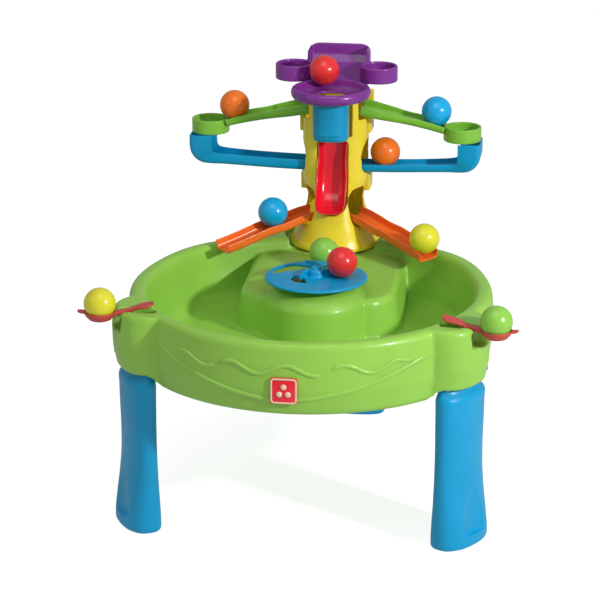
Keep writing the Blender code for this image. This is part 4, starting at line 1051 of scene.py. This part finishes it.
def kidney(inner_r, outer_r_, start, end, twist):
    """Kidney-shaped cutter through the wheel disc."""
    count = 24
    outer, inner = [], []
    for i in range(count + 1):
        t = i / count
        ease = 0.010 * (abs(2 * t - 1) ** 3)     # rounds the corners
        angle = start + (end - start) * t
        outer.append(polar(outer_r_ - ease, angle, 0.0))
        inner.append(polar(inner_r + ease, angle + twist, 0.0))
    return solid("cut_wheel", [[(x, y + SPIN_Y, z) for x, y, _ in outer + inner[::-1]]
                               for z in (SPIN_Z0 - 0.01, SPIN_Z1 + 0.01)])


def vane(tip_angle, reach):
    """Curved upright vane that lowers towards its tip."""
    count, half = 24, 0.0021
    sides = {-1: [], 1: []}
    for i in range(count):
        t = i / (count - 1)
        radius = 0.0123 + reach * t
        angle = math.radians(tip_angle - 46 * (1 - t) ** 1.4)
        across = angle + math.radians(90)
        top = SPIN_Z1 + 0.0130 * (1 - 0.55 * t ** 2)
        for side, line in sides.items():
            line.append((radius * math.cos(angle) + side * half * math.cos(across),
                         radius * math.sin(angle) + side * half * math.sin(across) + SPIN_Y, top))
    line = sides[-1] + sides[1][::-1]
    return walled("add_vane", [[(x, y, SPIN_Z1 - 0.0016) for x, y, _ in line], line])


def wheel():
    profile = [(0.0058, SPIN_Z1 + 0.0140), (0.0110, SPIN_Z1 + 0.0140), (0.0145, SPIN_Z1 + 0.0110),
               (0.0165, SPIN_Z1 + 0.0010), (0.0185, SPIN_Z1 - 0.0002), (SPIN_R - 0.003, SPIN_Z1),
               (SPIN_R, SPIN_Z1 - 0.0020), (SPIN_R - 0.0010, SPIN_Z0), (0.0058, SPIN_Z0)]
    piece = lathe("wheel", profile, SPIN_AT, 120)
    for hole in WHEEL_HOLES:
        cut(piece, kidney(*hole))
    for tip_angle, reach in WHEEL_VANES:
        add(piece, vane(tip_angle, reach))
    return mould(piece, 0.0012, 4)


def wheel_post():
    profile = [(0.0, SPIN_Z1 + 0.0135), (0.0053, SPIN_Z1 + 0.0135), (0.0057, SPIN_Z1 + 0.0130),
               (0.0057, SPIN_Z0 - 0.0006), (0.0090, SPIN_Z0 - 0.0006), (0.0090, 0.3945),
               (0.0050, 0.3945), (0.0050, 0.3545), (0.0, 0.3545)]
    return soften(lathe("wheel_post", profile, SPIN_AT, 48), 0.0003)


def wheel_cap():
    z = SPIN_Z1 + 0.0145
    profile = [(0.0, z + 0.0048), (0.0045, z + 0.0042), (0.0085, z + 0.0024), (0.0102, z),
               (0.0, z)]
    return soften(lathe("wheel_cap", profile, SPIN_AT, 60), 0.0005)


# -------------------------------------------------------------------- spoons
BOWL_RIM_Z = 0.4070
# radius, height above the bowl's rim
BOWL = [(0.0, -0.0155), (0.0090, -0.0150), (0.0180, -0.0115), (0.0235, -0.0055),
        (0.0265, -0.0002), (0.0275, 0.0), (0.0285, -0.0008), (0.0262, -0.0075),
        (0.0200, -0.0148), (0.0100, -0.0185), (0.0, -0.0190)]
# distance outwards from the pivot, half width, bottom, top
SPOON_ARM = [(0.0240, 0.0085, 0.3995, 0.4058), (0.0120, 0.0080, 0.4010, 0.4085),
             (0.0, 0.0080, 0.4008, 0.4110), (-0.0100, 0.0085, 0.4085, 0.4140),
             (-0.0180, 0.0120, 0.4125, 0.4175), (-0.0280, 0.0150, 0.4145, 0.4190),
             (-0.0380, 0.0135, 0.4165, 0.4210), (-0.0450, 0.0080, 0.4190, 0.4235)]
SPOON_TAB = [(0.0760, 0.0080, 0.4030, 0.4066), (0.0830, 0.0075, 0.4040, 0.4078),
             (0.0895, 0.0050, 0.4055, 0.4088)]


def spoon(side, tag):
    """Ball spoon: bowl outside the lobe, arm over the rim, press pad inboard."""
    x, y, _ = spoon_point(side, BOWL_OUT, 0, 0)
    piece = lathe(tag + "_spoon", [(r, BOWL_RIM_Z + z) for r, z in BOWL], (x, y, 0), 72)
    rings = []
    for out, half, z0, z1 in SPOON_ARM:
        section = [(-half, z0 + 0.0008), (-half * 0.85, z0), (half * 0.85, z0),
                   (half, z0 + 0.0008), (half, z1 - 0.0008), (half * 0.85, z1),
                   (-half * 0.85, z1), (-half, z1 - 0.0008)]
        rings.append([spoon_point(side, out, across, z) for across, z in section])
    add(piece, solid("add_arm", rings))
    # finger tab at the tip
    rings = []
    for out, half, z0, z1 in SPOON_TAB:
        section = [(-half, z0), (half, z0), (half, z1), (-half, z1)]
        rings.append([spoon_point(side, out, across, z) for across, z in section])
    add(piece, solid("add_tab", rings))
    cut(piece, spoon_bore(side, 0.02))
    return mould(piece, 0.0009, 4)


def spoon_pin(side, tag):
    profile = [(0.0, 0.0180), (0.0024, 0.0180), (0.00275, 0.0177), (0.00275, -0.0177),
               (0.0024, -0.0180), (0.0, -0.0180)]
    return soften(lathe(tag + "_spoon_pin", profile, (side * SPOON_X, SPOON_Y, SPOON_Z), 42,
                        spoon_axis(side)), 0.0003)


# --------------------------------------------------------------------- balls
# centre, direction of the axis through the poles
BALLS = {
    "top_red_ball": ((-0.0180, 0.3060, 0.7380), (0.5, 0.4, 1)),
    "left_ramp_orange_ball": ((-0.1960, RAMP_Y, 0.6569), (-0.4, 0.7, 1)),
    "right_ramp_blue_ball": ((0.1930, RAMP_Y, 0.6579), (0.9, -0.2, 0.8)),
    "right_trough_orange_ball": ((0.0960, RAMP_Y, 0.5745), (0.2, 0.9, 0.6)),
    "left_slide_blue_ball": (ball_on_slide(-1, 0.1230), (0.7, 0.3, 0.4)),
    "right_slide_yellow_ball": (ball_on_slide(1, 0.2180), (-0.5, -0.5, 1)),
    "wheel_red_ball": ((0.0484, 0.0636, SPIN_Z1 + BALL_R + 0.0004), (0.3, -0.6, 1)),
    "deck_green_ball": ((-0.0020, 0.1905, 0.4138), (0.8, 0.5, 0.5)),
    "left_spoon_yellow_ball": (spoon_point(-1, BOWL_OUT, 0, 0.4206), (0.2, -0.3, 1)),
    "right_spoon_green_ball": (spoon_point(1, BOWL_OUT, 0, 0.4206), (-0.6, 0.2, 1)),
}


def ball(name, centre, tilt):
    """Play ball with a fine mould seam round its middle."""
    profile = []
    count = 56
    for i in range(count + 1):
        angle = math.pi * i / count
        latitude = abs(angle - math.pi / 2)
        groove = 0.0060 * math.exp(-(latitude / 0.022) ** 2)
        shoulder = 0.0035 * math.exp(-((latitude - 0.062) / 0.03) ** 2)
        radius = BALL_R * (1.0 - groove + shoulder)
        profile.append((radius * math.sin(angle) if 0 < i < count else 0.0,
                        radius * math.cos(angle)))
    return bake(lathe(name, profile, centre, 84, tilt))


# --------------------------------------------------------------------- badge
BADGE_Z = 0.3285
BADGE_HALF = 0.0235
BADGE_R = outer_r(-90.0, 0.0)


def badge_y(offset, x):
    """Y of the badge's curved face, some distance out from the tub outline."""
    return -(BADGE_R + offset - x * x / (2 * BADGE_R))


def badge_plate():
    """Rounded plaque at the front of the apron."""
    rings = []
    for offset, inset in ((0.0048, 0.0), (0.0070, 0.0), (0.0078, 0.0014)):
        half = BADGE_HALF - inset
        rings.append([(x, badge_y(offset, x), BADGE_Z + z)
                      for x, z in rounded_rect(half, -half, half, 0.005)])
    return soften(solid("badge_plate", rings), 0.0009)


def badge_border():
    """Raised border, a closed bead round the plaque."""
    line = rounded_rect(0.0212, -0.0212, 0.0212, 0.0052, steps=10)
    section = 10
    rings = []
    for i, (x, z) in enumerate(line):
        x0, z0 = line[i - 1]
        x1, z1 = line[(i + 1) % len(line)]
        length = math.hypot(x1 - x0, z1 - z0)
        normal_x, normal_z = (z1 - z0) / length, -(x1 - x0) / length
        rings.append([(x + normal_x * 0.0016 * math.cos(a),
                       badge_y(0.0079, x) - 0.0008 * math.sin(a),
                       BADGE_Z + z + normal_z * 0.0016 * math.cos(a)) for a in circle(section)])
    verts, faces = loft(rings, caps=False)
    last = len(verts) - section
    for j in range(section):
        k = (j + 1) % section
        faces.append((last + j, last + k, k, j))
    return to_object("badge_border", verts, faces)


def badge_balls():
    """Three low domes on the plaque."""
    profile = [(0.0, 0.0026), (0.0026, 0.0023), (0.0046, 0.0012), (0.0054, -0.0006),
               (0.0, -0.0006)]
    places = ((-0.0075, -0.0060), (0.0075, -0.0060), (0.0, 0.0072))
    return [lathe("badge_ball_%d" % k, profile, (x, -(BADGE_R + 0.0076), BADGE_Z + z), 48,
                  (0, -1, 0)) for k, (x, z) in enumerate(places)]


# ----------------------------------------------------------------- materials
def new_material(name):
    """Material with its node tree and Principled shader."""
    material = bpy.data.materials.new(name)
    material.use_nodes = True
    return material, material.node_tree, material.node_tree.nodes["Principled BSDF"]


def set_inputs(node, values):
    for socket, value in values.items():
        node.inputs[socket].default_value = value


def add_noise(tree, coords, scale, detail=2.0):
    node = tree.nodes.new("ShaderNodeTexNoise")
    set_inputs(node, {"Scale": scale, "Detail": detail})
    tree.links.new(coords.outputs["Object"], node.inputs["Vector"])
    return node.outputs["Fac"]


def add_ramp(tree, factor, low, high, low_at=0.0, high_at=1.0):
    node = tree.nodes.new("ShaderNodeValToRGB")
    for element, colour, position in zip(node.color_ramp.elements, (low, high),
                                         (low_at, high_at)):
        element.position = position
        element.color = (*colour, 1)
    tree.links.new(factor, node.inputs["Fac"])
    return node.outputs["Color"]


def add_remap(tree, source, to_min, to_max, from_min=0.0, from_max=1.0):
    node = tree.nodes.new("ShaderNodeMapRange")
    set_inputs(node, {"From Min": from_min, "From Max": from_max,
                      "To Min": to_min, "To Max": to_max})
    tree.links.new(source, node.inputs["Value"])
    return node.outputs["Result"]


def add_blend(tree, factor, base, colour):
    """Mix a fixed colour over a base colour."""
    node = tree.nodes.new("ShaderNodeMix")
    node.data_type = "RGBA"
    tree.links.new(factor, node.inputs["Factor"])
    # colour sockets share their names with others: inputs 6 and 7, output 2
    tree.links.new(base, node.inputs[6])
    node.inputs[7].default_value = (*colour, 1)
    return node.outputs[2]


def add_bump(tree, height, strength, distance):
    node = tree.nodes.new("ShaderNodeBump")
    set_inputs(node, {"Strength": strength, "Distance": distance})
    tree.links.new(height, node.inputs["Height"])
    return node


def plastic(name, rgb, rough, vary=0.05, bump=0.05, grain=800.0, coat=0.3, glow=0.0,
            edge=0.10, scuff=0.10, deep=None):
    """Moulded plastic: cloudy colour, uneven gloss, orange peel, edges lightened as a painted
    highlight and, where deep is given, hollows darkened as painted shade.

    vary is the colour's spread, grain the scale of the fine bump, glow the subsurface
    weight, edge the strength of the painted highlight on the edges, scuff the spread of the
    roughness and deep the colour of the painted shade in the hollows.
    """
    material, tree, shader = new_material(name)
    link = tree.links.new
    coords = tree.nodes.new("ShaderNodeTexCoord")
    clouds = add_noise(tree, coords, scale=9.0, detail=3.0)
    patches = add_noise(tree, coords, scale=60.0, detail=4.0)
    colour = add_ramp(tree, clouds,
                      low=[max(0.0, c * (1.0 - vary)) for c in rgb],
                      high=[min(1.0, c * (1.0 + vary)) for c in rgb],
                      low_at=0.30, high_at=0.70)
    pointiness = tree.nodes.new("ShaderNodeNewGeometry").outputs["Pointiness"]
    # painted highlight: convex edges (high pointiness) are lightened towards a paler colour, up to
    # the edge share
    painted_edge_highlight = add_remap(tree, pointiness, from_min=0.515, from_max=0.60, to_min=0.0, to_max=edge)
    colour = add_blend(tree, painted_edge_highlight, colour, [min(1.0, c * 0.75 + 0.25) for c in rgb])
    # painted shade: hollows (low pointiness) are darkened towards the deep colour
    if deep is not None:
        hollow = add_remap(tree, pointiness, from_min=0.475, from_max=0.40,
                           to_min=0.0, to_max=0.30)
        colour = add_blend(tree, hollow, colour, deep)
    link(colour, shader.inputs["Base Color"])
    link(add_remap(tree, patches, from_min=0.25, from_max=0.75,
                   to_min=max(0.03, rough - scuff / 2), to_max=rough + scuff),
         shader.inputs["Roughness"])
    peel = add_noise(tree, coords, scale=grain)
    swell = add_noise(tree, coords, scale=38.0, detail=1.0)
    fine = add_bump(tree, peel, strength=bump, distance=0.0004)
    broad = add_bump(tree, swell, strength=0.10, distance=0.0012)
    link(fine.outputs["Normal"], broad.inputs["Normal"])
    link(broad.outputs["Normal"], shader.inputs["Normal"])
    set_inputs(shader, {"Coat Weight": coat, "Coat Roughness": 0.12, "IOR": 1.49,
                        "Specular IOR Level": 0.38})
    if glow > 0:
        set_inputs(shader, {"Subsurface Weight": glow, "Subsurface Radius": (0.6, 0.6, 0.6),
                            "Subsurface Scale": 0.012})
    return material


def steel(name):
    material, tree, shader = new_material(name)
    shader.inputs["Metallic"].default_value = 1.0
    coords = tree.nodes.new("ShaderNodeTexCoord")
    grain = add_noise(tree, coords, scale=420.0, detail=4.0)
    colour = add_ramp(tree, grain, low=(0.38, 0.39, 0.41), high=(0.66, 0.67, 0.68))
    rough = add_remap(tree, grain, to_min=0.25, to_max=0.48)
    bump = add_bump(tree, grain, strength=0.15, distance=0.0002)
    tree.links.new(colour, shader.inputs["Base Color"])
    tree.links.new(rough, shader.inputs["Roughness"])
    tree.links.new(bump.outputs["Normal"], shader.inputs["Normal"])
    return material


# each deep colour is painted shade in the hollows; edge sets how much the edges are lightened as a
# painted highlight
PAINT = {
    "lime_plastic": plastic("lime_moulded", (0.300, 0.600, 0.075), rough=0.36, bump=0.10,
                            grain=700.0, coat=0.15, edge=0.16, scuff=0.12,
                            deep=(0.10, 0.33, 0.05)),
    "blue_plastic": plastic("blue_moulded", (0.0, 0.325, 0.620), rough=0.33, grain=600.0,
                            coat=0.0, edge=0.08),
    "yellow_plastic": plastic("yellow_moulded", (0.930, 0.730, 0.030), rough=0.24, vary=0.04,
                              coat=0.35, deep=(0.52, 0.32, 0.01)),
    "red_plastic": plastic("red_moulded", (0.860, 0.010, 0.028), rough=0.16, bump=0.03,
                           coat=0.5, edge=0.08, scuff=0.08, deep=(0.35, 0.0, 0.01)),
    "orange_plastic": plastic("orange_moulded", (0.950, 0.170, 0.022), rough=0.24, edge=0.12,
                              deep=(0.50, 0.04, 0.005)),
    "purple_plastic": plastic("purple_moulded", (0.215, 0.028, 0.290), rough=0.26, vary=0.06,
                              bump=0.06, edge=0.14, scuff=0.12, deep=(0.07, 0.008, 0.11)),
    "green_plastic": plastic("green_moulded", (0.215, 0.530, 0.045), rough=0.26, vary=0.06,
                             edge=0.14, deep=(0.05, 0.22, 0.02)),
    "brick_red_plastic": plastic("brick_red_moulded", (0.590, 0.065, 0.050), rough=0.40,
                                 vary=0.06, bump=0.08, grain=700.0, coat=0.1, edge=0.16,
                                 scuff=0.12, deep=(0.25, 0.02, 0.02)),
}
# play balls: colour name, colour, roughness
for hue, hue_rgb, hue_rough in (("red", (0.840, 0.030, 0.030), 0.26),
                                ("orange", (0.950, 0.190, 0.010), 0.27),
                                ("blue", (0.0, 0.400, 0.780), 0.26),
                                ("yellow", (0.800, 0.760, 0.030), 0.28),
                                ("green", (0.270, 0.600, 0.070), 0.28)):
    PAINT[hue + "_ball"] = plastic(hue + "_play_ball", hue_rgb, rough=hue_rough, bump=0.04,
                                   grain=500.0, coat=0.4, glow=0.12, edge=0.0, scuff=0.12)
PAINT["zinc_steel"] = steel("zinc_plated_steel")


# --------------------------------------------------------------------- build
def place(piece, material, slot, body):
    """Paint a piece, move it into the scene and put it on its body."""
    piece.data.materials.append(material)
    PIECES.objects.unlink(piece)
    bpy.context.scene.collection.objects.link(piece)
    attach(piece, body)


def done(node, piece):
    """Place a finished piece and let it stand for its CAD node."""
    piece.data.materials.clear()
    for face in piece.data.polygons:
        face.material_index = 0
    place(piece, PAINT[SLOT_OF[node]], SLOT_OF[node], BODY_OF[node])
    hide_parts(node)


done("tub", tub())
for leg_row in LEGS:
    done(leg_row[0], leg(*leg_row))
for screw_tag, screw_point, screw_out in LEG_SCREWS:
    seat_point = tuple(screw_point[i] - screw_out[i] * 0.0018 for i in range(3))
    node_name = "leg_screw_" + screw_tag
    done(node_name, screw(node_name, seat_point, screw_out, shank=0.0265))
done("drain_plug", drain_plug())
for screw_tag, screw_point in TOWER_SCREWS.items():
    node_name = "tower_screw_" + screw_tag
    done(node_name, screw(node_name, screw_point, (0.0, 0.0, -1.0), shank=0.0255))
done("tower_front_shell", tower_half("tower_front_shell", front=True))
done("tower_rear_shell", tower_half("tower_rear_shell", front=False))
done("front_drop_cover", drop_cover())
done("front_slide", front_slide())
done("ball_drop_top", ball_drop_top())
for side_sign, side_tag in SIDES:
    for kind, build in (("_upper_ramp", upper_ramp), ("_return_trough", return_trough),
                        ("_lower_slide", lower_slide), ("_spoon", spoon),
                        ("_spoon_pin", spoon_pin)):
        done(side_tag + kind, build(side_sign, side_tag))
done("wheel", wheel())
done("wheel_post", wheel_post())
done("wheel_cap", wheel_cap())

done("badge_plate", badge_plate())
CREAM = plastic("badge_cream", (0.80, 0.62, 0.42), rough=0.30, bump=0.04, grain=700.0)
for trim in [badge_border()] + badge_balls():
    place(trim, CREAM, "red_plastic", "table")

for ball_name, (ball_centre, ball_tilt) in BALLS.items():
    done(ball_name, ball(ball_name, ball_centre, ball_tilt))

for tool_object in list(CUTTERS.objects):
    bpy.data.objects.remove(tool_object, do_unlink=True)

# --------------------------------------------------------------------- stage
scene = bpy.context.scene
scene.view_settings.view_transform = "Standard"


def add_camera():
    camera = bpy.data.cameras.new("photo_camera")
    holder = bpy.data.objects.new("photo_camera", camera)
    scene.collection.objects.link(holder)
    azimuth, elevation = math.radians(8.27), math.radians(18.38)
    view = Vector((-math.sin(azimuth) * math.cos(elevation),
                   math.cos(azimuth) * math.cos(elevation), -math.sin(elevation)))
    holder.location = (0.6037, -4.2922 - SHIFT_Y, 1.8222)
    holder.rotation_euler = view.to_track_quat("-Z", "Y").to_euler()
    camera.lens = 150.7
    camera.sensor_width = 36
    camera.clip_end = 60
    scene.camera = holder


def camera_switch(tree, others, camera):
    """One value for camera rays and another for all other rays."""
    rays = tree.nodes.new("ShaderNodeLightPath")
    return add_remap(tree, rays.outputs["Is Camera Ray"], to_min=others, to_max=camera)


def add_world():
    """White backdrop that lights the scene only weakly."""
    world = bpy.data.worlds.new("studio")
    scene.world = world
    world.use_nodes = True
    background = world.node_tree.nodes["Background"]
    background.inputs["Color"].default_value = (1.0, 1.0, 1.0, 1)
    world.node_tree.links.new(camera_switch(world.node_tree, others=0.35, camera=1.0),
                              background.inputs["Strength"])


def add_area_light(name, azimuth, elevation, distance, size, energy):
    """Area light aimed at the table; azimuth 0 is in front, positive to the right."""
    light = bpy.data.lights.new(name, "AREA")
    light.energy = energy
    light.size = size
    holder = bpy.data.objects.new(name, light)
    scene.collection.objects.link(holder)
    turn, rise = math.radians(azimuth), math.radians(elevation)
    away = Vector((math.sin(turn) * math.cos(rise), -math.cos(turn) * math.cos(rise),
                   math.sin(rise)))
    holder.location = Vector((0, 0, 0.4)) + away * distance
    holder.rotation_euler = (-away).to_track_quat("-Z", "Y").to_euler()


def floor_material():
    """Matt grey floor that looks almost white to the camera."""
    material, tree, shader = new_material("studio_floor")
    set_inputs(shader, {"Roughness": 0.9, "Specular IOR Level": 0.1,
                        "Emission Color": (1, 1, 1, 1)})
    coords = tree.nodes.new("ShaderNodeTexCoord")
    clouds = add_noise(tree, coords, scale=3.0)
    colour = add_ramp(tree, clouds, low=(0.52, 0.52, 0.52), high=(0.56, 0.56, 0.56))
    tree.links.new(colour, shader.inputs["Base Color"])
    tree.links.new(camera_switch(tree, others=0.16, camera=0.80),
                   shader.inputs["Emission Strength"])
    return material


def add_floor():
    material = floor_material()
    half = 9
    mesh = bpy.data.meshes.new("studio_floor")
    mesh.from_pydata([(-half, -half, 0), (half, -half, 0), (half, half, 0), (-half, half, 0)],
                     [], [(0, 1, 2, 3)])
    floor = bpy.data.objects.new("studio_floor", mesh)
    scene.collection.objects.link(floor)
    mesh.materials.append(material)
    floor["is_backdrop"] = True


add_camera()
add_world()
add_area_light("key", azimuth=56, elevation=24, distance=3.0, size=0.18, energy=55)
add_area_light("top_soft", azimuth=0, elevation=66, distance=2.6, size=1.6, energy=15)
add_area_light("left_soft", azimuth=-60, elevation=30, distance=3.0, size=1.4, energy=3)
add_floor()


def plain(value):
    """Bounds as plain dicts, lists and floats for JSON."""
    if isinstance(value, dict):
        return {str(key): plain(item) for key, item in value.items()}
    if isinstance(value, str):
        return value
    if hasattr(value, "__len__"):
        return [plain(item) for item in value]
    return float(value)


{"after_load": plain(BOUNDS_AT_LOAD), "before_finish": plain(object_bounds())}
